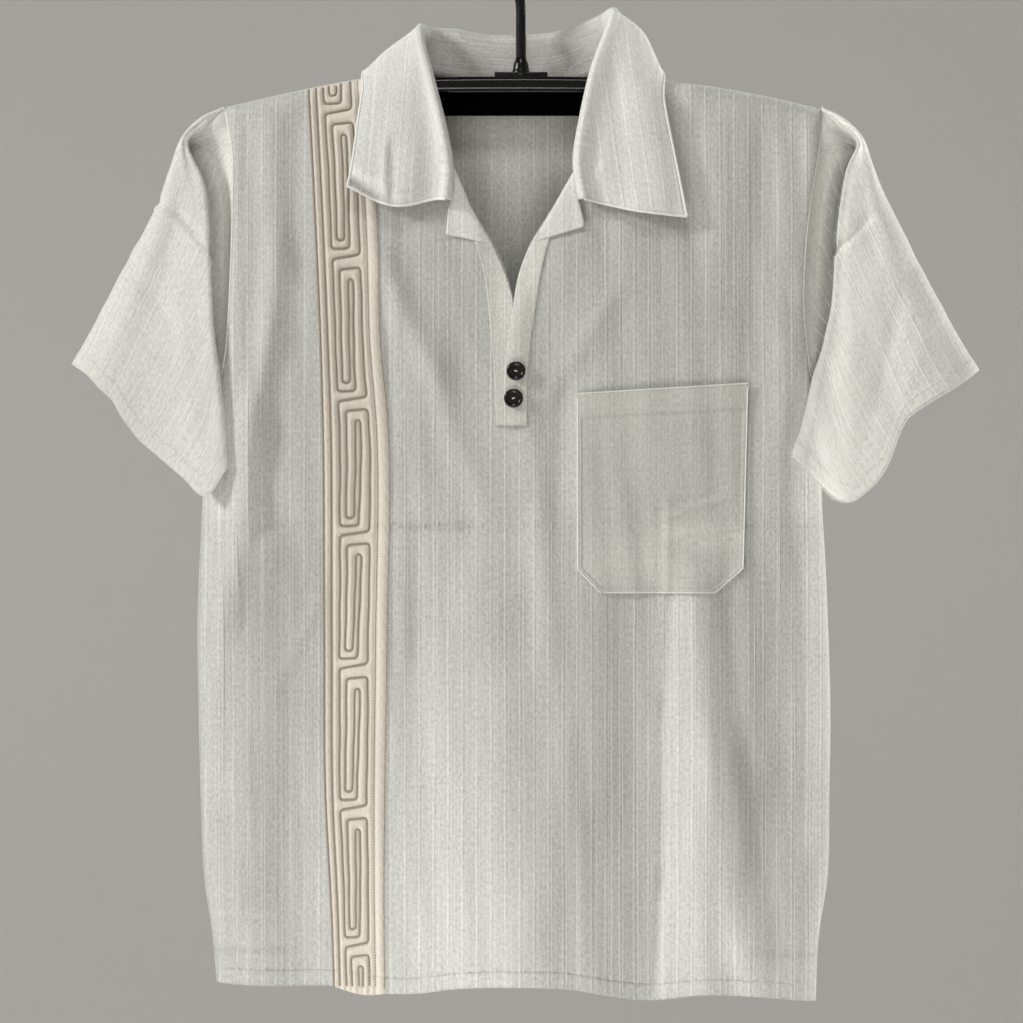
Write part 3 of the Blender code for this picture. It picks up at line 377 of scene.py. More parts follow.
def ripple(u, v, strength=1.0):
    """Small uneven waves, long along the ribs and short across them."""
    total = 0
    for across, along, phase, rise in RIPPLES:
        total = total + rise * np.sin(2 * math.pi * (u / across + v / along) + phase)
    return total * strength


def chain(points, steps):
    """A smooth line through a few points, read at each of them and between them: steps[k] to the next."""
    points = np.array(points, float)
    spans = np.linalg.norm(np.diff(points, axis=0), axis=1)
    knots = np.concatenate([[0], np.cumsum(spans)])
    at = [knots[k] + spans[k] * j / count for k, count in enumerate(steps) for j in range(count)]
    return np.stack([smooth(knots, points[:, axis], at + [knots[-1]]) for axis in range(3)], axis=-1)


def normals_of(grid):
    """Unit normals of a grid of points whose rows run down and whose columns run across."""
    normal = np.cross(np.gradient(grid, axis=0), np.gradient(grid, axis=1))
    return normal / np.maximum(np.linalg.norm(normal, axis=-1, keepdims=True), 1e-9)


def lengths_along(points):
    """Distance travelled along a line of points, 0 at its start."""
    steps = np.linalg.norm(np.diff(points, axis=0), axis=1)
    return np.concatenate([[0], np.cumsum(steps)])


# The body's two panels

HEM_STRIP, HEM_STEP, HEM_GROOVE, GROOVE_PAST = 12.0, 0.8, 0.5, 0.6
EDGE_RUN, EDGE_SPARE = 10.0, 0.05


def panel_depth(face, x, z):
    """How far the outer face of the front or back lies from the middle plane."""
    x, z = np.asarray(x, float), np.asarray(z, float)
    full, ridge, turn = (read(SECTIONS, column, "height", z) for column in (face, "ridge", "turn"))
    ridge = ridge * (1 if face == "front" else BACK_SHARE)
    from_side = np.minimum(x - side_edge("left", z), side_edge("right", z) - x)
    below_shoulder = shoulder_height(x) - z
    inside = quarter_round(from_side / turn)
    over = quarter_round(below_shoulder / SHOULDER_TURN)
    folds, creases = (FRONT_FOLDS, FRONT_CREASES) if face == "front" else (BACK_FOLDS, BACK_CREASES)
    detail = fold_rise(folds, x, z) + fold_rise(creases, x, z) + ripple(x, z)
    wall = between(THIN + EDGE_SPARE, WALL, quarter_round(np.minimum(from_side, below_shoulder) / EDGE_RUN))
    above_hem = z - hem_height(x)
    strip = HEM_STEP * (1 - past_edge(HEM_STRIP, above_hem))
    strip = strip - HEM_GROOVE * np.exp(-((above_hem - HEM_STRIP - GROOVE_PAST) ** 2))
    return wall + (ridge + (full - ridge) * inside) * over + detail * inside * over + strip * inside


def panel_point(face, x, z, lift=0.0):
    """A point lifted off the outer face of the front or back."""
    x, z = np.broadcast_arrays(np.asarray(x, float), np.asarray(z, float))
    depth = panel_depth(face, x, z) + lift
    return np.stack([x, -depth if face == "front" else depth, z], axis=-1)


def front_point(x, z, lift=0.0):
    return panel_point("front", x, z, lift)


SHOULDER_ROWS, ROW_SPACING = 8, 3.2
HEM_ROWS = (14.5, 13.2, 12.6, 12.0, 11.4, 10.0, 6.0, 2.5, 0.0)
TURN_PARTS = (0.0, 0.02, 0.06, 0.12, 0.2, 0.3, 0.42, 0.56, 0.7, 0.85, 1.0)
TOP_EDGE_TRIES = 8


def row_drops():
    """How far each row of a panel lies below its top edge: close over the shoulder's turn and at the hem."""
    turn = list(SHOULDER_TURN * (1 - np.cos(np.linspace(0, math.pi / 2, SHOULDER_ROWS))))
    last = BODY_LENGTH - HEM_ROWS[0]
    count = round((last - SHOULDER_TURN) / ROW_SPACING)
    body = [between(SHOULDER_TURN, last, k / count) for k in range(1, count + 1)]
    return turn + body + [BODY_LENGTH - above for above in HEM_ROWS[1:]]


def column_line(rows, column):
    """A line down the panel whose place across is a column of a table."""
    return lambda z: read(rows, column, "height", z)


def straight(x):
    return lambda z: x + 0 * np.asarray(z, float)


def turn_column(side, part):
    """A line down the panel, part of the way round the turn at its side."""
    sign = 1 if side == "left" else -1
    return lambda z: side_edge(side, z) + sign * read(SECTIONS, "turn", "height", z) * part


def turn_stops(side):
    parts = TURN_PARTS if side == "left" else TURN_PARTS[::-1]
    return [(turn_column(side, part), 1) for part in parts]


def panel_grid(face, stops, drops, top_height):
    """A grid of points: columns lie between the stops, which are edges that vary with height."""
    columns = [(0, 0.0)]
    for index, (_, count) in enumerate(stops[1:]):
        columns += [(index, (k + 1) / count) for k in range(count)]
    grid = np.zeros((len(drops), len(columns), 3))
    share = np.array(drops) / drops[-1]
    for c, (run, part) in enumerate(columns):
        start, end = stops[run][0], stops[run + 1][0]
        z_top = NECK_TOP
        for _ in range(TOP_EDGE_TRIES):
            z_top = float(top_height(between(start(z_top), end(z_top), part)))
        x_hem = between(start(HEM_LEVEL), end(HEM_LEVEL), part)
        z = between(z_top, hem_height(x_hem), share)
        grid[:, c, 0], grid[:, c, 2] = between(start(z), end(z), part), z
    return panel_point(face, grid[..., 0], grid[..., 2])


def back_top(x):
    """The back's top edge: the shoulders, and the dip of the neck between them."""
    middle, half = (NECK_LEFT + NECK_RIGHT) / 2, (NECK_RIGHT - NECK_LEFT) / 2
    dip = np.clip(1 - ((x - middle) / half) ** 2, 0, 1)
    return np.where(dip > 0, NECK_TOP - BACK_NECK_DROP * dip, shoulder_height(x))


def front_grids():
    """The two halves of the front, which meet below the slit."""
    drops = row_drops()
    slit_drop = BODY_LENGTH * (SLIT_FOOT - NECK_TOP) / (float(hem_height(SLIT_X)) - NECK_TOP)
    drops[min(range(len(drops)), key=lambda k: abs(drops[k] - slit_drop))] = slit_drop
    band_and_slit = [
        (column_line(BAND, "left"), 22),
        (column_line(BAND, "right"), 12),
        (column_line(NECK_EDGE_LEFT, "x"), 32),
    ]
    slit_and_side = [(column_line(NECK_EDGE_RIGHT, "x"), 0), (turn_column("right", 1.0), 76)]
    halves = turn_stops("left") + band_and_slit, slit_and_side + turn_stops("right")[1:]
    return [panel_grid("front", stops, drops, shoulder_height) for stops in halves]


def back_grid():
    neck_stops = [
        (straight(NECK_LEFT), 26), (straight(NECK_LEFT + NECK_CORNER), 4),
        (straight(NECK_RIGHT - NECK_CORNER), 40), (straight(NECK_RIGHT), 4), (turn_column("right", 1.0), 30),
    ]
    stops = turn_stops("left") + neck_stops + turn_stops("right")[1:]
    return panel_grid("back", stops, row_drops(), back_top)


# Sleeves

SLEEVE_STEPS, SLEEVE_ROWS_BETWEEN = (3, 5, 12, 18, 6, 4, 7, 5, 5), 14
CORNER_STEPS, FACE_STEPS = sum(SLEEVE_STEPS[:4]), sum(SLEEVE_STEPS[:5])
FOLD_TURN = np.array((-0.03, 0.9, 0.2))
SEAM_TURN = np.array((0.62, 0.30, 0.50))
SEAM_SPARE = 0.05

# How far the cuff's edge bows outwards, by its part of the way from the outer edge to the inner corner
CUFF = table(
    "part left right",
    (0, 0, 0), (0.1, -2.7, -2.2), (0.2, -2, -5.6), (0.3, -2.1, -9.4), (0.36, 1.8, -11.4), (0.44, 4.7, -14.2),
    (0.51, 6.2, -15.4), (0.58, 4.2, -12.4), (0.64, 1.8, -8), (0.7, -0.9, -3.7), (0.8, -5.7, -2.2),
    (0.9, -8.8, -4), (1, -4, -2.5),
)
CUFF_REACH, CUFF_STRIP, CUFF_STEP, ROWS_ABOVE_CUFF = 70.0, 10.5, 0.4, 3

# Painted light and shade on a sleeve, as a share of its colour, by how many columns it lies from its fold
# towards the seam: painted shade in the hollow beside the fold and along the right sleeve's outer edge,
# painted light on its face and beside the seam
HOLLOW_PAINTED_SHADING = table(
    "from_fold left right",
    (-44, 0, -0.2), (-34, 0, 0.05), (-22, 0, 0.28), (-10, 0, 0.28), (-2, 0, 0.2), (0, -0.06, -0.2),
    (2, -0.24, -0.42), (8, -0.28, -0.36), (11, -0.14, -0.02), (14, 0, 0.2), (21, 0, 0.22),
)
LIT_LOW, LIT_FROM_TO, DEEP_FROM_TO, LIT_COLUMNS = 0.1, (-270.0, -320.0), (-150.0, -172.0), (12, 17)


def seam_point(side, z, facing):
    """Where a sleeve is sewn to the body, or closes on itself below the underarm."""
    sign = -1 if side == "left" else 1
    depth = float(read(SECTIONS, "ridge", "height", z)) * (1 if facing < 0 else BACK_SHARE)
    below = np.clip((UNDERARM_SEAM_FROM - z) / UNDERARM_SEAM_RUN, 0, 1)
    clear = between(SEAM_LAP, SLEEVE_CLEAR_OF_SIDE, below)
    return (float(side_edge(side, z)) + sign * clear, facing * (depth + SEAM_SPARE), z)


def sleeve_half(side, course, facing):
    """One course from the outer edge to the seam, on the front (facing -1) or the back (1)."""
    share = 1.0 if facing < 0 else BACK_SHARE
    fold = facing * course.fold_depth * share
    flat = facing * min(course.fold_depth, SLEEVE_FLAT_DEPTH) * share
    outer = np.array((course.outer_x, 0.0, course.outer_z))
    corner = np.array((course.corner_x, fold * CORNER_SHARE, course.corner_z))
    reach = (corner - outer) * (1, 0, 1)
    rounded = [outer + reach * part + (0, flat * depth, 0) for part, depth in SLEEVE_ROUND]
    valley_z = between(course.fold_z, course.seam_z, VALLEY_SHARE)
    valley = np.array((course.valley_x, facing * course.valley_depth * share, valley_z))
    seam = np.array(seam_point(side, course.seam_z, facing))
    edge = np.array((course.fold_x, fold, course.fold_z))
    face = [outer] + rounded + [corner, edge]
    hollow = [edge, edge + (valley - edge) * FOLD_TURN, valley, valley + (seam - valley) * SEAM_TURN, seam]
    turn = len(face) - 1
    return np.concatenate([chain(face, SLEEVE_STEPS[:turn]), chain(hollow, SLEEVE_STEPS[turn:])[1:]])


def sleeve_grid(side, courses):
    """Rows run round the sleeve, from the front seam over the outer edge to the back seam."""
    rings = []
    for course in rows_between(courses, SLEEVE_ROWS_BETWEEN):
        front, back = (sleeve_half(side, course, facing) for facing in (-1, 1))
        rings.append(np.concatenate([front[::-1], back[1:]]))
    return bow_cuff(side, np.array(rings))


def bow_cuff(side, grid):
    """The cuff's edge, and less and less of the cloth above it, moved along the sleeve."""
    middle = grid.shape[1] // 2
    from_outer = np.hypot(*(grid[-1, :, (0, 2)] - grid[-1, middle, (0, 2)][:, None]))
    beyond = np.abs(np.arange(grid.shape[1]) - middle) > CORNER_STEPS
    part = np.where(beyond, 1.0, from_outer / from_outer[middle + CORNER_STEPS])
    bow = read(CUFF, side, "part", np.minimum(part, 1.0))
    along = lengths_along(grid[:, middle])
    near = soft_step(along[-1] - CUFF_REACH, along[-1], along)
    down = grid[-1] - grid[-1 - ROWS_ABOVE_CUFF]
    down /= np.linalg.norm(down, axis=-1, keepdims=True)
    return grid + down[None, :, :] * (bow[None, :] * near[:, None])[..., None]


def sleeve_weave(grid):
    """Across and along the ribs of a sleeve: from its outer edge, and down that edge."""
    middle = grid.shape[1] // 2
    along = lengths_along(grid[:, middle])
    across = np.array([lengths_along(row) for row in grid])
    across -= across[:, middle: middle + 1]
    return np.stack([across, np.broadcast_to(along[:, None], across.shape)], axis=-1)


SEWN_COLUMNS, FREE_COLUMNS, WAVE_RUN, SLEEVE_WAVES = (0, 10), (0, 12), (0, 60), 0.6


def lift_sleeve(grid, side, flip):
    """The table gives the sleeve's inner face: move it out by the wall, but not where it is sewn on."""
    outward = normals_of(grid) * (1 if flip else -1)
    columns = np.arange(grid.shape[1])
    from_seam = np.minimum(columns, columns[::-1])
    seam_lift = between(THIN * 0.5, WALL, soft_step(*SEWN_COLUMNS, from_seam))
    weave = sleeve_weave(grid)
    along = weave[..., 1]
    free = soft_step(*FREE_COLUMNS, from_seam)[None, :]
    creases = fold_rise(SLEEVE_CREASES[side], grid[..., 0], grid[..., 2])
    waves = ripple(weave[..., 0], along, SLEEVE_WAVES) * soft_step(*WAVE_RUN, along)
    strip = CUFF_STEP * past_edge(along[-1, 0] - CUFF_STRIP, along)
    lift = seam_lift[None, :] + (creases + waves) * free + strip * free
    return grid + outward * lift[..., None], outward


def painted_hollow_shading(side, grid):
    """A sleeve's painted shading: painted shade in the hollow beside its fold, and painted light by the seam,
    more so lower down.
    """
    from_fold = np.arange(sum(SLEEVE_STEPS) + 1) - FACE_STEPS
    tone, beside = read(HOLLOW_PAINTED_SHADING, side, "from_fold", from_fold), soft_step(*LIT_COLUMNS, from_fold)
    tone, beside = (np.concatenate([half[::-1], half[1:]]) for half in (tone, beside))
    low, deep = soft_step(*LIT_FROM_TO, grid[..., 2]), soft_step(*DEEP_FROM_TO, grid[..., 2])
    return np.where(tone < 0, tone * deep, tone) + LIT_LOW * low * beside


# Collar

COLLAR_RIBS_BETWEEN, COLLAR_STEPS = 9, (3, 3, 4, 4, 12, 14)
ROLL_COLUMN = sum(COLLAR_STEPS[:3])
WING_ROWS, WING_LEAN_LEFT, WING_LEAN_RIGHT = 5.5, -0.07, 0.14
WING_MIDDLE_LEFT, WING_MIDDLE_RIGHT = -49.0, 27.0
COLLAR_EDGE, INSIDE_PAINTED_SHADE, COLLAR_WAVES = 1.15, 0.24, 0.7
PAST_ROLL, IN_FRONT, BEHIND = (0, 6), (-6, -14), (2, 8)


def collar_foot(rib, place):
    """Where the collar is sewn on: on the front under the roll, and just above the neck edge of the back."""
    if COLLAR_FRONT_RIBS <= place <= len(COLLAR) - 1 - COLLAR_FRONT_RIBS:
        x = np.array([rib.neck])
        height = back_top(x)
        depth = panel_depth("back", x, height) - THIN
        return np.array((x[0], depth[0] + BACK_FOOT_BACK, height[0] + SEAM_GAP))
    z = np.array([rib.neck])
    if place < COLLAR_FRONT_RIBS:
        x = np.minimum(read(NECK_EDGE_LEFT, "x", "height", z), rib.roll_x) - FOOT_OUT
    else:
        x = np.maximum(read(NECK_EDGE_RIGHT, "x", "height", z), rib.roll_x) + FOOT_OUT
    depth = panel_depth("front", x, z) + FRONT_FOOT_LIFT
    return np.array((x[0], -depth[0], z[0] + FOOT_UP))


def collar_rib(rib, place):
    """Up from the neck seam, over the roll, and down the fall."""
    foot = collar_foot(rib, place)
    roll = np.array((rib.roll_x, rib.roll_y, rib.roll_z), float)
    edge = np.array((rib.edge_x, rib.edge_y, rib.edge_z), float)
    lean = rib.upright * math.pi / 2
    up = np.array((0, -math.cos(lean), math.sin(lean)))
    out = edge - roll
    out -= up * out.dot(up)
    out /= np.linalg.norm(out)
    inner = roll - out * ROLL_RADIUS - up * ROLL_RADIUS
    outer = roll + out * ROLL_RADIUS - up * ROLL_RADIUS * ROLL_OVER
    fall = (outer + edge) / 2 + np.array((0, -FALL_FORWARD * math.cos(lean), rib.bow))
    return [foot, (foot + inner) / 2, inner, roll, outer, fall, edge]


def collar_ribs():
    """The table's ribs and those between, where the foot of the side ribs turns from front to back."""
    first, last = COLLAR_FRONT_RIBS, len(COLLAR) - 1 - COLLAR_FRONT_RIBS
    feet = [row.neck for row in COLLAR]
    runs = (feet[:first] + [NECK_TOP], feet[first: last + 1], [NECK_TOP] + feet[last + 1:])
    ribs = rows_between(COLLAR, COLLAR_RIBS_BETWEEN)
    for k, rib in enumerate(ribs):
        place = k / COLLAR_RIBS_BETWEEN
        run = int(place >= first) + int(place > last)
        knots = range((0, first, last)[run], (first, last, len(COLLAR) - 1)[run] + 1)
        ribs[k] = rib._replace(neck=float(smooth(knots, runs[run], place)))
    return ribs


def collar_grid():
    ribs = enumerate(collar_ribs())
    return np.array([chain(collar_rib(rib, k / COLLAR_RIBS_BETWEEN), COLLAR_STEPS) for k, rib in ribs])


def collar_weave(grid):
    """Across the ribs from the roll line, and along them: round the neck, but straight down the wings."""
    across = np.array([lengths_along(row) for row in grid])
    across -= across[:, ROLL_COLUMN: ROLL_COLUMN + 1]
    x, z = grid[..., 0], grid[..., 2]
    left, right = WING_MIDDLE_LEFT - x - WING_LEAN_LEFT * z, x - WING_MIDDLE_RIGHT + WING_LEAN_RIGHT * z
    rows = np.arange(len(grid)) / COLLAR_RIBS_BETWEEN
    on_left = 1 - soft_step(WING_ROWS - 1.3, WING_ROWS, rows)
    on_right = soft_step(len(COLLAR) - 1 - WING_ROWS, len(COLLAR) + 0.3 - WING_ROWS, rows)
    falling = soft_step(*PAST_ROLL, across)
    across = between(across, left, on_left[:, None] * falling)
    across = between(across, right, on_right[:, None] * falling)
    along = lengths_along(grid[:, ROLL_COLUMN])
    return np.stack([across, np.broadcast_to(along[:, None], across.shape)], axis=-1)


def collar_detail(grid, weave):
    """Creases of the two wings and of the inner side at the back, and slow waves."""
    x, y, z = grid[..., 0], grid[..., 1], grid[..., 2]
    falling = soft_step(*PAST_ROLL, weave[..., 0])
    waves = ripple(weave[..., 0], weave[..., 1], COLLAR_WAVES) * falling
    wings = fold_rise(COLLAR_CREASES, x, z) * (falling * soft_step(*IN_FRONT, y))
    return wings + fold_rise(COLLAR_BACK_CREASES, x, z) * ((1 - falling) * soft_step(*BEHIND, y)) + waves


# Making meshes

def grid_faces(rows, columns, flip, start):
    """The faces of a grid of points that are numbered from start."""
    faces = []
    for r in range(rows - 1):
        for c in range(columns - 1):
            a = start + r * columns + c
            face = (a, a + 1, a + columns + 1, a + columns)
            faces.append(face[::-1] if flip else face)
    return faces


def linked(name, data):
    made = bpy.data.objects.new(name, data)
    bpy.context.scene.collection.objects.link(made)
    return made


def plain_mesh(made):
    """The object's shape with its modifiers applied, as a mesh of its own with none."""
    bpy.context.view_layer.update()
    settled = made.evaluated_get(bpy.context.evaluated_depsgraph_get())
    mesh = bpy.data.meshes.new_from_object(settled)
    made.modifiers.clear()
    old = made.data
    made.data = mesh
    mesh.name = made.name
    if old.users == 0:
        bpy.data.meshes.remove(old)
    return made


def flat_sheet(grid, painted_shading=()):
    """A sheet that faces the viewer, so that its weave is its own x and z."""
    return grid, grid[..., (0, 2)], fold_rise(painted_shading, grid[..., 0], grid[..., 2])


def cloth_piece(name, material, *sheets, flip=False, thin=THIN):
    """Sheets of points on the cloth's outer face, joined where they meet, given their thickness inwards.

    Each sheet is its points, how far each lies across the ribs and along them, in millimetres, and the
    painted light and shade there, as a part of its own colour.
    """
    mesh = bpy.data.meshes.new(name)
    points, faces, places = [], [], []
    for grid, weave, _ in sheets:
        faces += grid_faces(*grid.shape[:2], flip, len(points))
        points += (grid.reshape(-1, 3) * MM).tolist()
        places += (weave.reshape(-1, 2) * MM).tolist()
    mesh.from_pydata(points, [], faces)
    layer = mesh.uv_layers.new(name="weave")
    for loop in mesh.loops:
        layer.data[loop.index].uv = places[loop.vertex_index]
    tone = mesh.attributes.new("tone", "FLOAT", "POINT")
    tone.data.foreach_set("value", np.concatenate([painted_shading.ravel() for _, _, painted_shading in sheets]))
    welded = bmesh.new()
    welded.from_mesh(mesh)
    bmesh.ops.remove_doubles(welded, verts=welded.verts, dist=0.01 * MM)
    welded.to_mesh(mesh)
    welded.free()
    mesh.materials.append(material)
    mesh.shade_smooth()
    made = linked(name, mesh)
    thick = made.modifiers.new("Thickness", "SOLIDIFY")
    thick.thickness = thin * MM
    thick.offset = -1.0
    return plain_mesh(made)


# Nodes, and the trees that lay threads along lines

def node(tree, kind, inputs=None, **settings):
    """A node with its settings, and its inputs given as values or as sockets to link."""
    made = tree.nodes.new(kind)
    for key, value in settings.items():
        setattr(made, key, value)
    for key, value in (inputs or {}).items():
        if isinstance(value, bpy.types.NodeSocket):
            tree.links.new(value, made.inputs[key])
        else:
            made.inputs[key].default_value = value
    return made


def out(tree, kind, inputs=None, **settings):
    """The first output of such a node."""
    return node(tree, kind, inputs, **settings).outputs[0]


def new_tree(name, sizes):
    """A tree that takes lines, sizes and a material, its inputs, and its lines as curves."""
    tree = bpy.data.node_groups.new(name, "GeometryNodeTree")
    tree.interface.new_socket(name="Lines", in_out="INPUT", socket_type="NodeSocketGeometry")
    for label, value in sizes.items():
        socket = tree.interface.new_socket(name=label, in_out="INPUT", socket_type="NodeSocketFloat")
        socket.default_value = value
    tree.interface.new_socket(name="Thread", in_out="INPUT", socket_type="NodeSocketMaterial")
    tree.interface.new_socket(name="Geometry", in_out="OUTPUT", socket_type="NodeSocketGeometry")
    given = node(tree, "NodeGroupInput").outputs
    return tree, given, out(tree, "GeometryNodeMeshToCurve", {"Mesh": given["Lines"]})


def finish_tree(tree, laid, given):
    """Every tree ends the same way: instances made real, then the thread's material."""
    real = out(tree, "GeometryNodeRealizeInstances", {"Geometry": laid})
    coloured = out(tree, "GeometryNodeSetMaterial", {"Geometry": real, "Material": given["Thread"]})
    node(tree, "NodeGroupOutput", {"Geometry": coloured})
    return tree


def cord_tree():
    """A round thread along each line."""
    tree, given, curves = new_tree("thread_along_lines", {"Radius": 0.0003})
    ring = out(tree, "GeometryNodeCurvePrimitiveCircle", {"Resolution": 6, "Radius": given["Radius"]})
    sides = {"Curve": curves, "Profile Curve": ring, "Fill Caps": True}
    return finish_tree(tree, out(tree, "GeometryNodeCurveToMesh", sides), given)


def stitch_tree():
    """A short rounded stitch at even steps along each line."""
    sizes = {"Step": 0.003, "Length": 0.002, "Thickness": 0.0004}
    tree, given, curves = new_tree("stitches_along_lines", sizes)
    steps = {"Curve": curves, "Length": given["Step"]}
    stepped = out(tree, "GeometryNodeResampleCurve", steps, mode="LENGTH")
    bead = out(tree, "GeometryNodeMeshUVSphere", {"Segments": 6, "Rings": 4, "Radius": 0.5})
    thick = given["Thickness"]
    size = out(tree, "ShaderNodeCombineXYZ", {"X": thick, "Y": thick, "Z": given["Length"]})
    along = out(tree, "GeometryNodeInputTangent")
    turned = out(tree, "FunctionNodeAlignRotationToVector", {"Vector": along}, axis="Z")
    placed = {"Points": stepped, "Instance": bead, "Rotation": turned, "Scale": size}
    return finish_tree(tree, out(tree, "GeometryNodeInstanceOnPoints", placed), given)


def laid_along(name, tree, lines, material, **sizes):
    """A tree's threads along lines of points, made a plain mesh."""
    mesh = bpy.data.meshes.new(name)
    points, edges = [], []
    for line in lines:
        edges += [(k, k + 1) for k in range(len(points), len(points) + len(line) - 1)]
        points += (np.asarray(line) * MM).tolist()
    mesh.from_pydata(points, edges, [])
    made = linked(name, mesh)
    laid = made.modifiers.new("Laid", "NODES")
    laid.node_group = tree
    for item in tree.interface.items_tree:
        if item.in_out == "INPUT" and item.name in sizes:
            laid[item.identifier] = sizes[item.name] * MM
        elif item.in_out == "INPUT" and item.name == "Thread":
            laid[item.identifier] = material
    plain_mesh(made)
    made.data.shade_smooth()
    return made


def stitched(name, lines):
    return laid_along(name, STITCH, lines, SEWING_THREAD, Step=2.8, Length=2.1, Thickness=0.34)


# Materials

def new_material(name, roughness, **values):
    """A material, its nodes and its shader, whose plain values are named with _ for each space."""
    material = bpy.data.materials.new(name)
    material.use_nodes = True
    shader = material.node_tree.nodes["Principled BSDF"]
    shader.inputs["Roughness"].default_value = roughness
    for label, value in values.items():
        shader.inputs[label.replace("_", " ")].default_value = value
    return material, material.node_tree, shader


def maths(tree, operation, *values):
    """The result of a maths node, whose inputs have no names of their own and so go by their order."""
    made = tree.nodes.new("ShaderNodeMath")
    made.operation = operation
    for socket, value in zip(made.inputs, (*values, 0.0, 0.0)):
        if isinstance(value, bpy.types.NodeSocket):
            tree.links.new(value, socket)
        else:
            socket.default_value = value
    return made.outputs[0]


def noise_at(tree, vector, scale, detail=2.0, roughness=0.5):
    sizes = {"Vector": vector, "Scale": scale, "Detail": detail, "Roughness": roughness}
    return out(tree, "ShaderNodeTexNoise", sizes)


def streaks(tree, vector, across, along, roughness=0.5):
    """Noise whose scale is not the same in the two directions of the weave."""
    stretched = out(tree, "ShaderNodeMapping", {"Vector": vector, "Scale": (across, along, 1.0)})
    return noise_at(tree, stretched, 1.0, roughness=roughness)


def line_every(tree, across, pitch, offset, half_width, soft):
    """1 on thin lines a pitch apart across the cloth and 0 between them."""
    folded = maths(tree, "PINGPONG", maths(tree, "ADD", across, offset), pitch / 2)
    ends = {"From Min": half_width, "From Max": half_width + soft, "To Min": 1.0, "To Max": 0.0}
    return out(tree, "ShaderNodeMapRange", {"Value": folded, **ends})


def tint(tree, shader, colour, shade):
    """The shader's colour, made lighter or darker by a socket."""
    tinted = out(tree, "ShaderNodeVectorMath", {0: colour, "Scale": shade}, operation="SCALE")
    tree.links.new(tinted, shader.inputs["Base Color"])


def emboss(tree, shader, strength, distance, height):
    """The shader's surface, raised in its shading by a height from 0 to about 1."""
    bump = out(tree, "ShaderNodeBump", {"Strength": strength, "Distance": distance, "Height": height})
    tree.links.new(bump, shader.inputs["Normal"])


RIB_PITCH, RIB_DRIFT = 0.011, 0.0016


def cotton(name, colour, contrast=1.0, crinkle=1.0, ribs=1.0):
    """Hand-woven cotton: a thin light rib with a painted shadow line beside it, finer ribs, and a crinkled
    grain.
    """
    material, tree, shader = new_material(
        name, 0.88, Sheen_Weight=0.15, Sheen_Roughness=0.5, Specular_IOR_Level=0.2
    )

    def plus(total, value, share):
        return maths(tree, "MULTIPLY_ADD", value, share, total)

    place = out(tree, "ShaderNodeUVMap", uv_map="weave")
    wander = streaks(tree, place, 20.0, 12.0)
    drifted = plus(out(tree, "ShaderNodeSeparateXYZ", {"Vector": place}), wander, RIB_DRIFT)
    rib = line_every(tree, drifted, RIB_PITCH, 0.0, 0.0004, 0.0008)
    shadow_groove = line_every(tree, drifted, RIB_PITCH, -0.0014, 0.0002, 0.0008)
    fine = line_every(tree, drifted, RIB_PITCH / 4, 0.0004, 0.0001, 0.0007)
    streak = streaks(tree, place, 420.0, 7.0, 0.6)
    broad = streaks(tree, place, 60.0, 14.0)
    cloudy = streaks(tree, place, 11.0, 7.0)
    grain = streaks(tree, place, 900.0, 620.0, 0.7)
    crinkled = streaks(tree, place, 420.0, 300.0, 0.65)

    shade = 1.0
    for noise, share in ((streak, 0.34), (broad, 0.20), (cloudy, 0.28), (crinkled, 0.75), (grain, 0.5)):
        shade = plus(shade, maths(tree, "SUBTRACT", noise, 0.5), share * contrast)
    strong = maths(tree, "MULTIPLY_ADD", broad, 1.6, -0.3)
    shade = plus(shade, maths(tree, "MULTIPLY", rib, strong), 0.28 * ribs)
    shade = plus(shade, fine, 0.04 * contrast)
    # A painted shadow line beside each rib, which is also a small dip in the bump.
    shade = plus(shade, shadow_groove, -0.03 * contrast)
    # The tone attribute is painted light and shade: each piece's lighter and darker places, as a share of its
    # colour.
    tone = node(tree, "ShaderNodeAttribute", attribute_name="tone").outputs["Fac"]
    tint(tree, shader, colour, maths(tree, "MULTIPLY_ADD", shade, tone, shade))

    height = maths(tree, "MULTIPLY", rib, ribs)
    raised = ((shadow_groove, -0.2 * ribs), (fine, 0.15), (streak, 0.4), (crinkled, 1.6 * crinkle), (grain, 0.5))
    for value, share in raised:
        height = plus(height, value, share)
    emboss(tree, shader, 0.5, 0.0004, height)
    return material


def thread(name, colour, twist=900.0, uneven=0.12):
    """Twisted thread, with painted shade in the hollows of its twist, and duller here and there along its
    way.
    """
    material, tree, shader = new_material(name, 0.8, Sheen_Weight=0.2)
    place = node(tree, "ShaderNodeTexCoord").outputs["Object"]
    fibre = noise_at(tree, place, twist, 2.0, 0.6)
    worn = streaks(tree, place, 55.0, 55.0)
    # Painted shade: darker where the fibre's bump is low.
    shade = maths(tree, "MULTIPLY_ADD", fibre, 0.4, 0.8)
    shade = maths(tree, "MULTIPLY_ADD", maths(tree, "SUBTRACT", worn, 0.5), uneven, shade)
    tint(tree, shader, colour, shade)
    emboss(tree, shader, 0.4, 0.0002, fibre)
    return material


def moulded_plastic(name, colour, roughness, grain, gloss=0.5):
    """Dark moulded plastic with a faint unevenness in its gloss."""
    plain = {"Specular_IOR_Level": gloss, "Base_Color": (*colour, 1.0)}
    material, tree, shader = new_material(name, roughness, **plain)
    place = node(tree, "ShaderNodeTexCoord").outputs["Object"]
    uneven = noise_at(tree, place, grain, 3.0, 0.55)
    ends = {"To Min": roughness * 0.75, "To Max": roughness * 1.3}
    tree.links.new(out(tree, "ShaderNodeMapRange", {"Value": uneven, **ends}), shader.inputs["Roughness"])
    speck = noise_at(tree, place, grain * 12)
    tone = out(tree, "ShaderNodeMapRange", {"Value": speck, "To Min": 0.75, "To Max": 1.25})
    tint(tree, shader, colour, tone)
    emboss(tree, shader, 0.15, 0.0003, uneven)
    return material


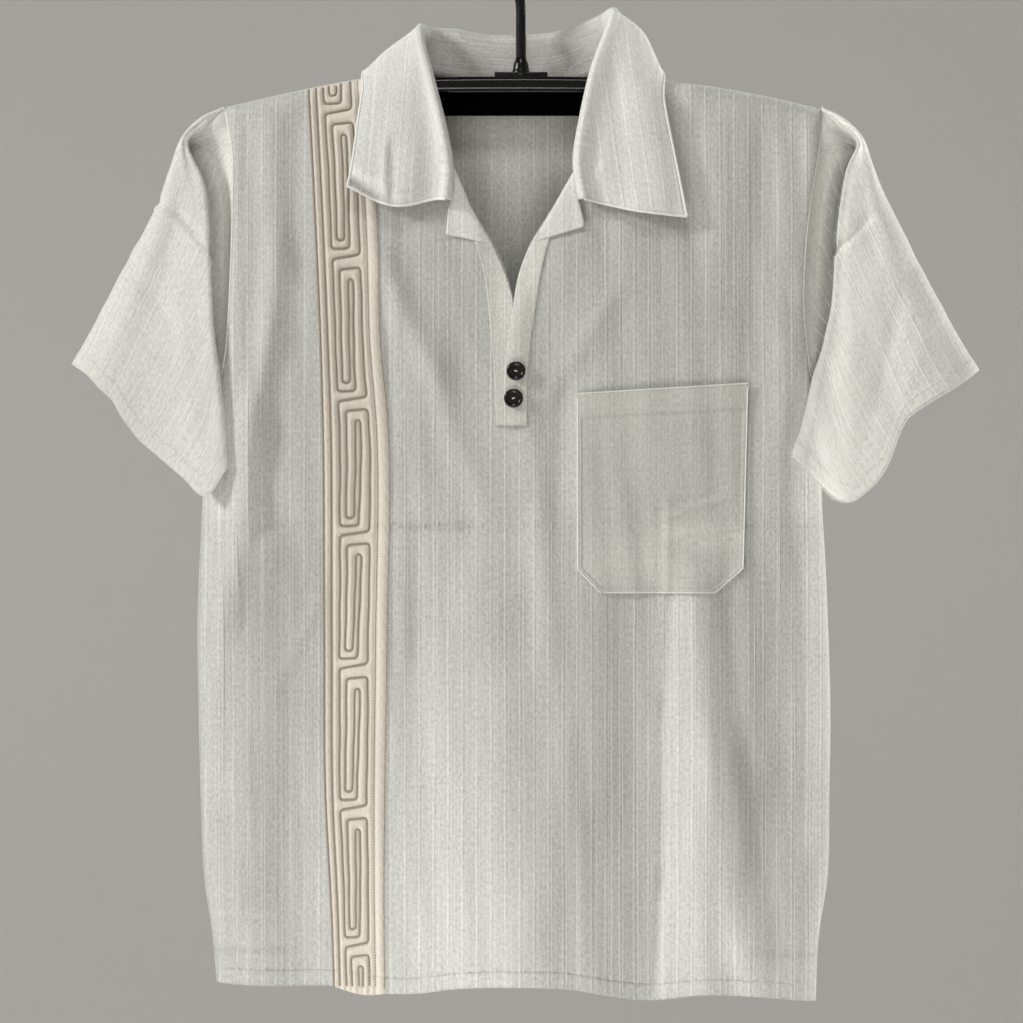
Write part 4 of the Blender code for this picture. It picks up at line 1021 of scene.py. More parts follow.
def plain_backdrop(name, colour):
    material, tree, shader = new_material(name, 0.95)
    cloudy = noise_at(tree, node(tree, "ShaderNodeTexCoord").outputs["Object"], 1.2)
    tone = out(tree, "ShaderNodeMapRange", {"Value": cloudy, "To Min": 0.98, "To Max": 1.02})
    tint(tree, shader, colour, tone)
    return material


# The pieces are cut from one cloth: their lightness differs as painted light and shade, the front and pocket
# darker and the placket, sleeves and collar lighter, standing in for how the lamps fall on them.
FRONT_COTTON = cotton("cotton_front", (0.565, 0.563, 0.532), ribs=0.75)
PLACKET_COTTON = cotton("cotton_placket", (0.650, 0.640, 0.590), 0.8, ribs=0.4)
SLEEVE_COTTON = cotton("cotton_sleeves", (0.745, 0.743, 0.695), 0.8, ribs=0.4)
COLLAR_COTTON = cotton("cotton_collar", (0.780, 0.780, 0.732), 0.8, ribs=0.4)
POCKET_COTTON = cotton("cotton_pocket", (0.540, 0.533, 0.490), 0.8, ribs=0.15)
BAND_COTTON = cotton("cotton_band", (0.750, 0.695, 0.600), 0.4, 0.8, ribs=0.1)
RIB_THREAD = thread("rib_thread", (0.68, 0.68, 0.65), uneven=0.45)
SLEEVE_RIB_THREAD = thread("sleeve_rib_thread", (0.80, 0.80, 0.76), uneven=0.3)
SEAM_CLOTH = thread("seam_cloth", (0.78, 0.78, 0.73), twist=500.0)
# Painted highlight: the collar's turned edges are its own cloth, made lighter for the light that catches
# them.
HIGHLIT_EDGE_CLOTH = thread("edge_cloth_painted_highlight", (0.90, 0.90, 0.85), twist=500.0)
SEWING_THREAD = thread("sewing_thread", (0.66, 0.66, 0.62))
TAUPE_CORD = thread("taupe_cord", (0.315, 0.268, 0.208), uneven=0.3)
BAND_THREAD = thread("band_thread", (0.26, 0.20, 0.15))
BUTTON_BROWN = moulded_plastic("button_brown", (0.009, 0.0055, 0.0045), 0.24, 160.0, 0.35)
HANGER_BLACK = moulded_plastic("hanger_plastic", (0.003, 0.003, 0.003), 0.26, 60.0, 0.32)
# Painted shade: a darker copy of the hanger's plastic, without gloss, for the web in the recess under the
# bar's lip.
HANGER_SHADED_WEB = moulded_plastic("hanger_plastic_painted_shade", (0.0008, 0.0008, 0.0008), 0.6, 60.0, 0.0)

CORD = cord_tree()
STITCH = stitch_tree()


# Lines on the cloth

RIB_STEP, RIB_SPACING, RIB_RADIUS, RIB_LIFT, FAINT_RIB_LIFT = 6.0, 11.0, 0.34, -0.23, -0.28
RIB_STRAY, RIB_SWAY, RIB_SWAY_RUN, FEWEST_POINTS = 1.6, 0.5, 90.0, 4
CLEAR_OF_SIDE, CLEAR_OF_EDGE = 3, 2


def strayed(places, seed):
    """The ribs' even places, each moved a little."""
    return places + np.random.default_rng(seed).uniform(-RIB_STRAY, RIB_STRAY, len(places))


def runs_where(points, keep):
    """The parts of a line of points where keep is true."""
    runs, run = [], []
    for point, kept in zip([*points, None], [*keep, False]):
        if kept:
            run.append(point)
            continue
        if len(run) >= FEWEST_POINTS:
            runs.append(np.array(run))
        run = []
    return runs


def off_band(x, z, clear=0):
    """Where a place on the front is to the left or the right of the band, and clear of it."""
    return (x < column_line(BAND, "left")(z) - clear) | (x > column_line(BAND, "right")(z) + clear)


def panel_ribs(face, seed):
    """The ribs of the front or back, straight down the cloth and cut by its edges, the slit and the band."""
    lines = []
    for number, x in enumerate(strayed(np.arange(-240, 242, RIB_SPACING), seed)):
        z = np.arange(float(shoulder_height(x)) - 3.0, float(hem_height(x)) + 1.0, -RIB_STEP)
        sway = x + RIB_SWAY * np.sin(z / RIB_SWAY_RUN + number)
        keep = (sway > side_edge("left", z) + CLEAR_OF_SIDE) & (sway < side_edge("right", z) - CLEAR_OF_SIDE)
        if face == "front":
            left, right = column_line(NECK_EDGE_LEFT, "x")(z), column_line(NECK_EDGE_RIGHT, "x")(z)
            beside = (sway < left - CLEAR_OF_EDGE) | (sway > right + CLEAR_OF_EDGE)
            keep &= off_band(sway, z) & ((z < SLIT_FOOT - CLEAR_OF_EDGE) | beside)
        else:
            keep &= z < back_top(sway) - CLEAR_OF_EDGE
        lines += runs_where(panel_point(face, sway, z, RIB_LIFT), keep)
    return lines


def sheet_ribs(grid, weave, places):
    """Ribs that run down a sheet side by side, each until it meets the sheet's edge."""
    lines = []
    for place in places:
        keep = (weave[:, 0, 0] + 1 < place) & (place < weave[:, -1, 0] - 1)
        rows = zip(weave[..., 0], grid)
        points = [[np.interp(place, across, row[:, axis]) for axis in range(3)] for across, row in rows]
        lines += runs_where(np.array(points), keep)
    return lines


STRIP_THIN, STRIP_SEWN_FROM_TO, STRIP_SEWN_IN, STRIP_SEWN_LIFT = 0.35, (-250.0, -382.0), 1.3, 0.7
FOOT_FROM_TO, FOOT_LIFTS, FOOT_SEWN_AT = (-12.0, 3.6), (2.3, 0.9), (-377.6, -382.9)
HEM_SEWN_FROM_TO, HEM_SEWN_UP, HEM_SEWN_LIFT, CLEAR_OF_BAND = (-230.0, 224.0), 11.6, 0.1, 1
SEAM_POINTS, SEAM_PROUD, SHOULDER_ENDS, CLEAR_OF_NECK = 60, 0.15, (-228.0, 233.0), 2
ARMHOLE_FROM_TO, ARMHOLE_OUT, ARMHOLE_TOP = (-372.0, -141.0), 0.4, -138.2
SIDE_SEAM_TOP, SIDE_SEAM_FOOT, SIDE_SEAM_IN, SIDE_SEAM_UP = -345.0, -815.0, 0.2, 0.8


def placket_lines():
    """Stitches down the two outer edges of the placket and across its foot."""
    heights = np.linspace(*STRIP_SEWN_FROM_TO, SEAM_POINTS)
    under_edge = read(PLACKET_UNDER, "left", "height", heights) + STRIP_SEWN_IN
    over_edge = read(PLACKET_OVER, "right", "height", heights) - STRIP_SEWN_IN
    lines = [front_point(edge, heights, STRIP_THIN + STRIP_SEWN_LIFT) for edge in (under_edge, over_edge)]
    x = np.linspace(*FOOT_FROM_TO, 12)
    for height in FOOT_SEWN_AT:
        lines.append(front_point(x, height + 0 * x, np.interp(x, FOOT_FROM_TO, FOOT_LIFTS) + STRIP_THIN))
    return lines


def hem_lines():
    """The hem's stitches, round the body but not across the band."""
    lines = []
    for face in ("front", "back"):
        x = np.arange(*HEM_SEWN_FROM_TO, 3.0)
        z = hem_height(x) + HEM_SEWN_UP
        keep = (x > side_edge("left", z) + CLEAR_OF_EDGE) & (x < side_edge("right", z) - CLEAR_OF_EDGE)
        if face == "front":
            keep &= off_band(x, z, CLEAR_OF_BAND)
        lines += runs_where(panel_point(face, x, z, HEM_SEWN_LIFT), keep)
    return lines


def armhole_line(side):
    """Up the front of the armhole, over the shoulder's end, and down its back."""
    heights = np.linspace(*ARMHOLE_FROM_TO, SEAM_POINTS)
    at_side = side_edge(side, heights)
    edge = at_side + (-ARMHOLE_OUT if side == "left" else ARMHOLE_OUT)
    front, back = (panel_point(face, at_side, heights, SEAM_PROUD) for face in ("front", "back"))
    front[:, 0] = back[:, 0] = edge
    return np.concatenate([front, [[edge[-1], 0.0, ARMHOLE_TOP]], back[::-1]])


def join_lines():
    """The shoulder seams and the side seams, where the front and the back meet."""
    lines = []
    left_end, right_end = SHOULDER_ENDS
    for low, high in ((left_end, NECK_LEFT - CLEAR_OF_NECK), (NECK_RIGHT + CLEAR_OF_NECK, right_end)):
        x = np.linspace(low, high, 50)
        lines.append(np.stack([x, 0 * x, shoulder_height(x) - SEAM_PROUD], axis=-1))
    for side, inward in (("left", SIDE_SEAM_IN), ("right", -SIDE_SEAM_IN)):
        foot = float(hem_height(side_edge(side, SIDE_SEAM_FOOT))) + SIDE_SEAM_UP
        z = np.linspace(SIDE_SEAM_TOP, foot, 90)
        lines.append(np.stack([side_edge(side, z) + inward, 0 * z, z], axis=-1))
    return lines


# Building the shirt

def make_body():
    halves = [flat_sheet(half, FRONT_PAINTED_SHADING) for half in front_grids()]
    front = cloth_piece("shirt_front", FRONT_COTTON, *halves, flip=True)
    back = cloth_piece("shirt_back", FRONT_COTTON, flat_sheet(back_grid(), BACK_PAINTED_SHADING))
    front_ribs = laid_along("front_ribs", CORD, panel_ribs("front", 11), RIB_THREAD, Radius=RIB_RADIUS)
    back_ribs = laid_along("back_ribs", CORD, panel_ribs("back", 12), RIB_THREAD, Radius=RIB_RADIUS)
    return front, back, front_ribs, back_ribs


def make_seams():
    armholes = [armhole_line("left"), armhole_line("right")]
    ridges = laid_along("armhole_seams", CORD, armholes, SEAM_CLOTH, Radius=0.95)
    joins = laid_along("shoulder_and_side_seams", CORD, join_lines(), SEAM_CLOTH, Radius=0.62)
    return ridges, joins, stitched("hem_stitches", hem_lines())


ABOVE_CUFF_SEAM, COLLAR_FIRST_RIB = 0.8, 4.0


def make_sleeve(side, courses, seed):
    flip = side == "right"
    grid, outward = lift_sleeve(sleeve_grid(side, courses), side, flip)
    weave = sleeve_weave(grid)
    sheet = (grid, weave, painted_hollow_shading(side, grid))
    piece = cloth_piece(f"sleeve_{side}_cloth", SLEEVE_COTTON, sheet, flip=flip)
    reach = int(np.abs(weave[..., 0]).max() // RIB_SPACING)
    places = strayed(np.arange(-reach, reach + 1) * RIB_SPACING, seed)
    lines = sheet_ribs(grid + outward * FAINT_RIB_LIFT, weave, places)
    ribs = laid_along(f"sleeve_{side}_ribs", CORD, lines, SLEEVE_RIB_THREAD, Radius=RIB_RADIUS)
    along = weave[:, 0, 1]
    row = int(np.argmin(np.abs(along - (along[-1] - CUFF_STRIP + ABOVE_CUFF_SEAM))))
    sewn = stitched(f"sleeve_{side}_stitches", [grid[row, 1:-1] + outward[row, 1:-1] * 0.1])
    cuff = grid[-1, 1:-1] - outward[-1, 1:-1] * THIN * 0.5
    turned = laid_along(f"sleeve_{side}_edge", CORD, [cuff], SEAM_CLOTH, Radius=0.5)
    return piece, ribs, sewn, turned


def make_collar():
    inner = collar_grid()
    outward = normals_of(inner)
    grid = inner + outward * COLLAR_WALL
    weave = collar_weave(grid)
    grid = grid + outward * collar_detail(grid, weave)[..., None]
    standing = 1 - soft_step(*PAST_ROLL, weave[..., 0])
    # Painted light and shade on the wings, and painted shade on the collar's inner side at the back.
    tone = fold_rise(COLLAR_PAINTED_SHADING, grid[..., 0], grid[..., 2]) * (1 - standing)
    tone -= INSIDE_PAINTED_SHADE * standing * soft_step(*BEHIND, grid[..., 1])
    piece = cloth_piece("collar_cloth", COLLAR_COTTON, (grid, weave, tone), flip=True, thin=COLLAR_THIN)
    middle = grid - outward * COLLAR_THIN * 0.5
    edges = [middle[0, ROLL_COLUMN:], middle[-1, ROLL_COLUMN:], middle[:, -1]]
    turned = laid_along("collar_edge", CORD, edges, HIGHLIT_EDGE_CLOTH, Radius=COLLAR_EDGE)
    inset = grid[2:-2, -5] + outward[2:-2, -5] * 0.05
    ends = [grid[3, ROLL_COLUMN + 4:-4], grid[-4, ROLL_COLUMN + 4:-4]]
    sewn = stitched("collar_stitches", [inset] + ends)
    low, high = int(weave[..., 0].min() // RIB_SPACING), int(weave[..., 0].max() // RIB_SPACING)
    places = strayed(np.arange(low, high + 1) * RIB_SPACING + COLLAR_FIRST_RIB, 31)
    lines = sheet_ribs(grid + outward * FAINT_RIB_LIFT, weave, places)
    ribs = laid_along("collar_ribs", CORD, lines, SLEEVE_RIB_THREAD, Radius=RIB_RADIUS)
    return piece, turned, sewn, ribs


REVERS_PARTS = (0.0, 0.04, 0.1, 0.2, 0.6, 0.9, 1.0)
REVERS_LIFTS = (-0.35, 0.6, 1.15, 1.45, 1.75, 1.7, 1.45)
REVERS_CURL, REVERS_GRID = 0.9, (44, 22)


def make_revers(name, rows, flip):
    across = np.linspace(0, 1, REVERS_GRID[1])
    at = np.linspace(0, len(rows) - 1, REVERS_GRID[0])[:, None]
    slit_x, slit_z, free_x, free_z = (smooth(range(len(rows)), column, at) for column in zip(*rows))
    curl = REVERS_CURL * across**6 * soft_step(0.4, 0.9, at / (len(rows) - 1))
    lifts = np.interp(across, REVERS_PARTS, REVERS_LIFTS) + curl
    grid = front_point(between(slit_x, free_x, across), between(slit_z, free_z, across), lifts)
    return cloth_piece(name, COLLAR_COTTON, flat_sheet(grid), flip=flip)


def make_placket(name, rows, closed_lifts, open_lifts):
    heights = np.linspace(rows[0].height, rows[-1].height, 74)[:, None]
    left, right = (read(rows, side, "height", heights) for side in ("left", "right"))
    parts = np.linspace(0, 1, 18)
    closed, opened = (np.interp(parts, np.linspace(0, 1, 5), lifts) for lifts in (closed_lifts, open_lifts))
    profile = between(closed, opened, soft_step(OVERLAP_WHOLE, OVERLAP_FROM, heights))
    grid = front_point(between(left, right, parts), heights + 0 * parts, profile + STRIP_THIN)
    return cloth_piece(name, PLACKET_COTTON, flat_sheet(grid, PLACKET_PAINTED_SHADING), flip=True, thin=STRIP_THIN)


POCKET_TIP, POCKET_RIM, POCKET_RIM_STEP, POCKET_HEM = 1.6, 2.8, 0.6, 18.6
POCKET_STITCH_LIFT, POCKET_EDGE_LIFT = 0.08, -0.15


def pocket_point(across, down, lift=0.0):
    """A point of the pocket from its parts across and down."""
    across, down = np.broadcast_arrays(np.asarray(across, float), np.asarray(down, float))
    cut = (POCKET_BOTTOM + POCKET_CORNER - POCKET_TOP_LEFT) / (POCKET_BOTTOM - POCKET_TOP_LEFT)
    chamfer = np.maximum(0.0, (down - cut) / (1 - cut))
    left = POCKET_LEFT + POCKET_CORNER * chamfer
    right = between(POCKET_RIGHT, POCKET_RIGHT_LOW, down) - POCKET_CORNER_RIGHT * chamfer
    x = between(left, right, across)
    z = between(between(POCKET_TOP_LEFT, POCKET_TOP_RIGHT, across), POCKET_BOTTOM, down)
    bulge = POCKET_MOUTH * (1 - down) * np.sin(math.pi * across)
    proud = POCKET_TIP * (1 - down) ** 6 * across**8
    slant = 1 - 0.3 * (chamfer > 0)
    from_edge = np.minimum(np.minimum(x - left, right - x) * slant, (1 - down) * POCKET_DEPTH)
    rim = 1 - past_edge(POCKET_RIM, from_edge, 0.5)
    mouth = 1 - past_edge(POCKET_HEM, down * POCKET_DEPTH)
    raised = POCKET_RIM_STEP * np.maximum(rim, mouth) + fold_rise(POCKET_CREASES, x, z)
    return front_point(x, z, POCKET_LIFT + THIN * 0.7 + bulge + proud + raised + lift)


def eased_parts(count):
    """Parts of a side from 0 to 1 that lie closer together near its two ends."""
    even = np.linspace(0, 1, count)
    return even - 0.55 * np.sin(2 * math.pi * even) / (2 * math.pi)


def make_pocket():
    grid = pocket_point(eased_parts(96)[None, :], eased_parts(110)[:, None])
    piece = cloth_piece("pocket_cloth", POCKET_COTTON, flat_sheet(grid, POCKET_PAINTED_SHADING), flip=True)
    side, low = 0.022, 0.975
    run = np.linspace(0.02, 1, 60)
    inside = between(side, 1 - side, run)
    seams = (
        (side, run * low), (1 - side, run * low), (inside, low), (inside, low - 0.05),
        (run, POCKET_HEM / POCKET_DEPTH - 0.006),
    )
    sewn = stitched("pocket_stitches", [pocket_point(*seam, POCKET_STITCH_LIFT) for seam in seams])
    edges = [pocket_point(*edge, POCKET_EDGE_LIFT) for edge in ((0.0, run), (1.0, run), (run, 1.0))]
    edges.append(pocket_point(np.linspace(0, 1, 60), 0.0, POCKET_EDGE_LIFT))
    turned = laid_along("pocket_edge", CORD, edges, SEAM_CLOTH, Radius=0.66)
    return piece, sewn, turned


# The band and its running key, charted as places across the band and down one repeat

KEY = (
    (0.25, 0.042), (0.25, 0.972), (0.53, 0.965), (0.57, 0.183), (0.49, 0.183), (0.46, 0.908), (0.34, 0.915),
    (0.355, 0.113), (0.69, 0.099), (0.69, 1.007),
)
KEY_TOPS = (-33.0, -139.7, -252.1, -361.4, -464.6, -566.2, -674.8, -780.3, -884.0)
BAND_UNITS, KEY_CORNER, KEY_STEP, CORD_RADIUS = 50.0, 2.6, 1.6, 0.88
BORDERS, SOLID_BORDERS, DASHED_BORDERS = (0.0, 0.125, 0.81, 1.0), (0.012, 0.125), (0.81, 0.985)
BAND_LIFT, BAND_PUFF, PUFF_RUN, BAND_CORD_LIFT, BAND_THIN = 0.8, 1.3, 2.3, 1.05, 0.7
BAND_ROWS, BAND_COLUMNS, BAND_DROOP, BELOW_SHOULDER, CORD_POINTS_APART = 500, 64, 3.5, 1.5, 3.0
BAND_HEM_X, BAND_TOP_X, BAND_TOP_DOWN = -128, -140.0, 0.4
BAND_PUCKER, PUCKER_RUN, PUCKER_WIDE = 0.12, 1.9, 6


def rounded_path(points, radius, steps=5):
    """A line of straight runs whose corners are rounded."""
    path = [points[0]]
    for before, corner, after in zip(points, points[1:], points[2:]):
        back, on = before - corner, after - corner
        cut = min(radius, np.linalg.norm(back) * 0.48, np.linalg.norm(on) * 0.48)
        start, end = corner + back / np.linalg.norm(back) * cut, corner + on / np.linalg.norm(on) * cut
        for t in np.linspace(0, 1, steps):
            path.append((1 - t) ** 2 * start + 2 * t * (1 - t) * corner + t * t * end)
    return np.array(path + [points[-1]])


def refined(path, step):
    """The same line with a point at every step."""
    along = lengths_along(path)
    at = np.linspace(0, along[-1], max(2, int(along[-1] // step)))
    return np.stack([np.interp(at, along, path[:, axis]) for axis in range(path.shape[1])], axis=-1)


def key_line():
    """The running key down the band, as places across it (0 to BAND_UNITS) and heights."""
    points = []
    for top, foot in zip(KEY_TOPS, KEY_TOPS[1:]):
        points += [np.array((across * BAND_UNITS, between(top, foot, along))) for across, along in KEY]
    path = refined(rounded_path(points, KEY_CORNER), KEY_STEP)
    wobble = 0.25 * np.sin(path[:, 1] / 17.0) + 0.15 * np.sin(path[:, 1] / 6.3 + path[:, 0])
    path[:, 0] += wobble
    return path


def band_x(across, z):
    """The place across the shirt of a place across the band, in fiftieths of its width."""
    return between(column_line(BAND, "left")(z), column_line(BAND, "right")(z), across / BAND_UNITS)


def distance_to(path, across, z):
    """The distance from each place to the nearest point of a line."""
    nearest = np.full(across.shape, 1e9)
    for a, b in zip(path, path[1:]):
        run = b - a
        length = max(float(run @ run), 1e-9)
        t = np.clip(((across - a[0]) * run[0] + (z - a[1]) * run[1]) / length, 0, 1)
        nearest = np.minimum(nearest, np.hypot(across - a[0] - t * run[0], z - a[1] - t * run[1]))
    return nearest


def make_band():
    key = key_line()
    across = np.linspace(0, BAND_UNITS, BAND_COLUMNS)
    hem, top = float(hem_height(BAND_HEM_X)), float(shoulder_height(BAND_TOP_X)) + 0.5
    part = np.linspace(0, 1, BAND_ROWS)[:, None]
    first_x = band_x(across, between(top, hem, part))
    droop = BAND_DROOP * np.sin(math.pi * across / BAND_UNITS) * soft_step(0.93, 1.0, part)
    z = between(shoulder_height(first_x) - BAND_TOP_DOWN, hem_height(first_x) - droop, part)
    x = band_x(across, z)
    spread = np.broadcast_to(across, z.shape)
    lines = distance_to(key[::2], spread, z)
    for border in BORDERS:
        lines = np.minimum(lines, np.abs(spread - border * BAND_UNITS))
    edge = np.minimum(spread, BAND_UNITS - spread)
    puff = 1 - np.exp(-((lines / PUFF_RUN) ** 2))
    lift = BAND_LIFT + BAND_PUFF * puff * soft_step(-0.5, 2.0, edge)
    pucker = BAND_PUCKER * np.sin(z / PUCKER_RUN + spread) * (edge < PUCKER_WIDE)
    sheet = (front_point(x, z, lift + pucker), np.stack([spread, z], axis=-1), np.zeros_like(z))
    piece = cloth_piece("band_cloth", BAND_COTTON, sheet, flip=True, thin=BAND_THIN)
    key_x, key_z = band_x(key[:, 0], key[:, 1]), key[:, 1]
    on_band = (key_z > hem + 1) & (key_z < shoulder_height(key_x) - BELOW_SHOULDER)
    cord_lines, dashed = runs_where(front_point(key_x, key_z, BAND_CORD_LIFT), on_band), []
    for place in SOLID_BORDERS + DASHED_BORDERS:
        start = float(shoulder_height(band_x(place * BAND_UNITS, top))) - BELOW_SHOULDER
        runs = np.arange(start, hem + 1, -CORD_POINTS_APART)
        line = front_point(band_x(place * BAND_UNITS, runs), runs, BAND_CORD_LIFT)
        (cord_lines if place in SOLID_BORDERS else dashed).append(line)
    cords = laid_along("band_cords", CORD, cord_lines, TAUPE_CORD, Radius=CORD_RADIUS)
    dashes = laid_along("band_stitches", STITCH, dashed, BAND_THREAD, Step=2.3, Length=1.9, Thickness=0.8)
    return piece, cords, dashes


# Buttons and the hanger

def solid_of(name, shape, *materials):
    """A finished shape as a smooth object."""
    mesh = bpy.data.meshes.new(name)
    bmesh.ops.recalc_face_normals(shape, faces=shape.faces)
    shape.to_mesh(mesh)
    shape.free()
    for material in materials:
        mesh.materials.append(material)
    mesh.shade_smooth()
    return linked(name, mesh)


def turned_solid(name, profile, steps, material):
    """A profile of radii and heights turned about +Z, closed where its radius is 0."""
    shape = bmesh.new()
    rings = []
    for radius, height in profile:
        turns = [2 * math.pi * k / steps for k in range(steps if radius else 1)]
        points = [(radius * math.cos(a) * MM, radius * math.sin(a) * MM, height * MM) for a in turns]
        rings.append([shape.verts.new(point) for point in points])
    for here, there in zip(rings, rings[1:]):
        for k in range(steps):
            corners = [here[k % len(here)], here[(k + 1) % len(here)]]
            corners += [there[(k + 1) % len(there)], there[k % len(there)]]
            unique = list(dict.fromkeys(corners))
            if len(unique) > 2:
                shape.faces.new(unique)
    return solid_of(name, shape, material)


# Radii and heights of a button's rounded back, rim and dished face
BUTTON_PROFILE = (
    (0, 0), (5.6, 0), (6.6, 0.25), (7.15, 0.8), (7.3, 1.35), (7.2, 1.85), (6.85, 2.4), (6.4, 2.7), (6, 2.8),
    (5.6, 2.72), (5.1, 2.4), (4.7, 2.1), (4.2, 1.95), (3, 1.8), (1.5, 1.72), (0, 1.7),
)
BUTTON_LEANS, LOOP_HALF, LOOP_LIFT, LOOP_RISE = (-0.2, 0.35), 1.1, 1.95, 0.35


def make_button(button, number):
    made = turned_solid(f"{button.name}_turned", BUTTON_PROFILE, 64, BUTTON_BROWN)
    seat = front_point(button.x, button.height, OVER_STRIP_LIFTS[1] + STRIP_THIN + BUTTON_STAND_OFF)
    for vertex in made.data.vertices:
        x, y, z = vertex.co
        vertex.co = (x + seat[0] * MM, -z + seat[1] * MM, y + seat[2] * MM)
    made.data.update()
    lean = BUTTON_LEANS[number]
    half = np.array((math.cos(lean), 0.0, math.sin(lean))) * LOOP_HALF
    centre = seat + np.array((0.0, -LOOP_LIFT, 0.0))
    loops = []
    for offset in (-0.25, 0.25):
        side = np.array((-half[2], 0, half[0])) * offset
        arc = [centre + side + half * t + (0, -LOOP_RISE * (1 - t * t), 0) for t in np.linspace(-1, 1, 7)]
        loops.append(np.array(arc))
    sewn = laid_along(f"{button.name}_thread", CORD, loops, SEWING_THREAD, Radius=0.28)
    return made, sewn


def bar_top(x):
    """The bar is level where it shows and follows the shoulders beyond."""
    under_cloth = shoulder_height(x) - BAR_UNDER_CLOTH
    return np.minimum(under_cloth, BAR_TOP - BAR_FALL * (np.abs(x) / BAR_FALL_AT) ** 2)


def bar_outline(x):
    """A rounded top, a lip below it at the front and back, and a thinner web to the bottom."""
    reach = abs(x) / max(abs(end) for end in BAR_ENDS)
    height = between(BAR_HEIGHT, BAR_END_HEIGHT, reach**2)
    top = float(bar_top(np.array(x)))
    ends = min(x - BAR_ENDS[0], BAR_ENDS[1] - x)
    pinch = float(quarter_round(np.array(BAR_END_PINCH + ends / BAR_END_RUN)))
    half, web, lip = BAR_HALF_DEPTH * pinch, BAR_HALF_DEPTH * pinch * BAR_WEB, height * BAR_LIP
    side = (
        (0.0, 0.0), (half * 0.62, -0.1), (half * 0.98, -3.0), (half, -lip + 3.6), (half + 0.55, -lip + 2.8),
        (half + 0.6, -lip + 1.4), (half, -lip), (web, -lip - 1.4), (web, -height + 2.0), (web * 0.6, -height),
        (0.0, -height),
    )
    smooth_side = rounded_path([np.array(corner) for corner in side], 1.0, 4)
    outline = np.concatenate([smooth_side, smooth_side[-2:0:-1] * (-1, 1)])
    return [Vector((x * MM, y * MM, (top + z) * MM)) for y, z in outline]


def loft(shape, rings):
    """Faces between rings of points, and a cap on each end."""
    levels = [[shape.verts.new(point) for point in ring] for ring in rings]
    around = len(levels[0])
    for here, there in zip(levels, levels[1:]):
        for k in range(around):
            shape.faces.new((here[k], here[(k + 1) % around], there[(k + 1) % around], there[k]))
    shape.faces.new(levels[0][::-1])
    shape.faces.new(levels[-1])


def soft_box(shape, size, centre, bevel):
    made = bmesh.ops.create_cube(shape, size=1.0)
    for vertex in made["verts"]:
        vertex.co = Vector(c * s * MM for c, s in zip(vertex.co, size)) + Vector(centre) * MM
    edges = {edge for vertex in made["verts"] for edge in vertex.link_edges}
    bmesh.ops.bevel(shape, geom=list(edges), offset=bevel * MM, segments=3, affect="EDGES", profile=0.5)


def make_bar():
    shape = bmesh.new()
    places = sorted(set(np.round(np.concatenate([np.linspace(*BAR_ENDS, 90), np.linspace(-60, 60, 25)]), 2)))
    loft(shape, [bar_outline(float(x)) for x in places])
    width, depth, height = BOSS_PLATE
    soft_box(shape, (width, depth, height + PLATE_SUNK), (0, 0, BAR_TOP + (height - PLATE_SUNK) / 2), 0.7)
    made = solid_of("hanger_bar_moulded", shape, HANGER_BLACK, HANGER_SHADED_WEB)
    # The web's faces below the lip take the painted-shade copy of the plastic.
    for face in made.data.polygons:
        recessed = face.center.z < (BAR_TOP - BAR_HEIGHT * BAR_LIP + 0.2) * MM
        face.material_index = 1 if recessed and abs(face.normal.x) < 0.7 else 0
    return made


def make_boss():
    steps = (
        (0, -2), (7.2, -2), (7.2, 0.3), (6.6, 1.4), (6.2, 3.5), (5.7, 6.5), (5.1, 8.3), (4.5, 9.4),
        (3.95, 11.5), (0, 11.5),
    )
    low = BAR_TOP + BOSS_PLATE[2]
    return turned_solid("hanger_boss", [(radius, low + up) for radius, up in steps], 40, HANGER_BLACK)


HOOK_ROUND, HOOK_STEP, TIP_PART, TIP_RUN = 24, 2.0, 0.12, 4.5


def make_hook():
    """A round rod up from the boss and over in a hook, which narrows to a rounded tip."""
    path = [(0.0, BAR_TOP + BOSS_PLATE[2] + BOSS_HEIGHT + SEAM_GAP), *STEM_BEND]
    for k in range(HOOK_STEPS + 1):
        angle = math.radians(between(HOOK_START, HOOK_END, k / HOOK_STEPS))
        path.append((HOOK_RADIUS * math.cos(angle), HOOK_CENTRE + HOOK_RADIUS * math.sin(angle)))
    path = refined(np.array(path), HOOK_STEP)
    shape = bmesh.new()
    rings = []
    for k, (x, z) in enumerate(path):
        before, after = path[max(k - 1, 0)], path[min(k + 1, len(path) - 1)]
        run = (after - before) / np.linalg.norm(after - before)
        from_end = (len(path) - 1 - k) * HOOK_STEP
        radius = STEM_RADIUS * float(quarter_round(np.array(TIP_PART + from_end / TIP_RUN)))
        ring = []
        for j in range(HOOK_ROUND):
            angle = 2 * math.pi * j / HOOK_ROUND
            off, y = radius * math.cos(angle), radius * math.sin(angle)
            ring.append(Vector(((x - run[1] * off) * MM, y * MM, (z + run[0] * off) * MM)))
        rings.append(ring)
    loft(shape, rings)
    return solid_of("hanger_hook_round", shape, HANGER_BLACK)


# The setting: a pale bowl, soft lights and the camera

STAGE_RADIUS, STAGE_FLOOR, STAGE_HEIGHT, STAGE_BEND = 4600.0, -2500.0, 6400.0, 2000.0
BACKDROP_COLOUR, ROOM_GLOW = (0.68, 0.665, 0.64), 0.01
# A lamp's name, place, size, power and warmth
LAMPS = (
    ("key_light", -3.9, -1.5, 1.7, 0.8, 127.0, 1.0), ("top_light", -0.05, -0.9, 1.3, 0.3, 8.0, 1.0),
    ("low_light", -0.12, -0.6, -1.15, 0.5, 3.3, 1.0), ("right_light", 2.6, 0.35, -0.2, 0.7, 58.0, 1.01),
    ("back_light", 0.5, 2.1, 0.8, 2.0, 22.0, 1.0),
)
LOOK_AT = Vector((0.0, 0.0, -0.42))
CAMERA_X, CAMERA_Z = -0.0073, -0.4503
CAMERA_AWAY, FRAME_WIDTH, FRONT_PLANE, SENSOR = 3.0, 0.788, -0.010, 36.0


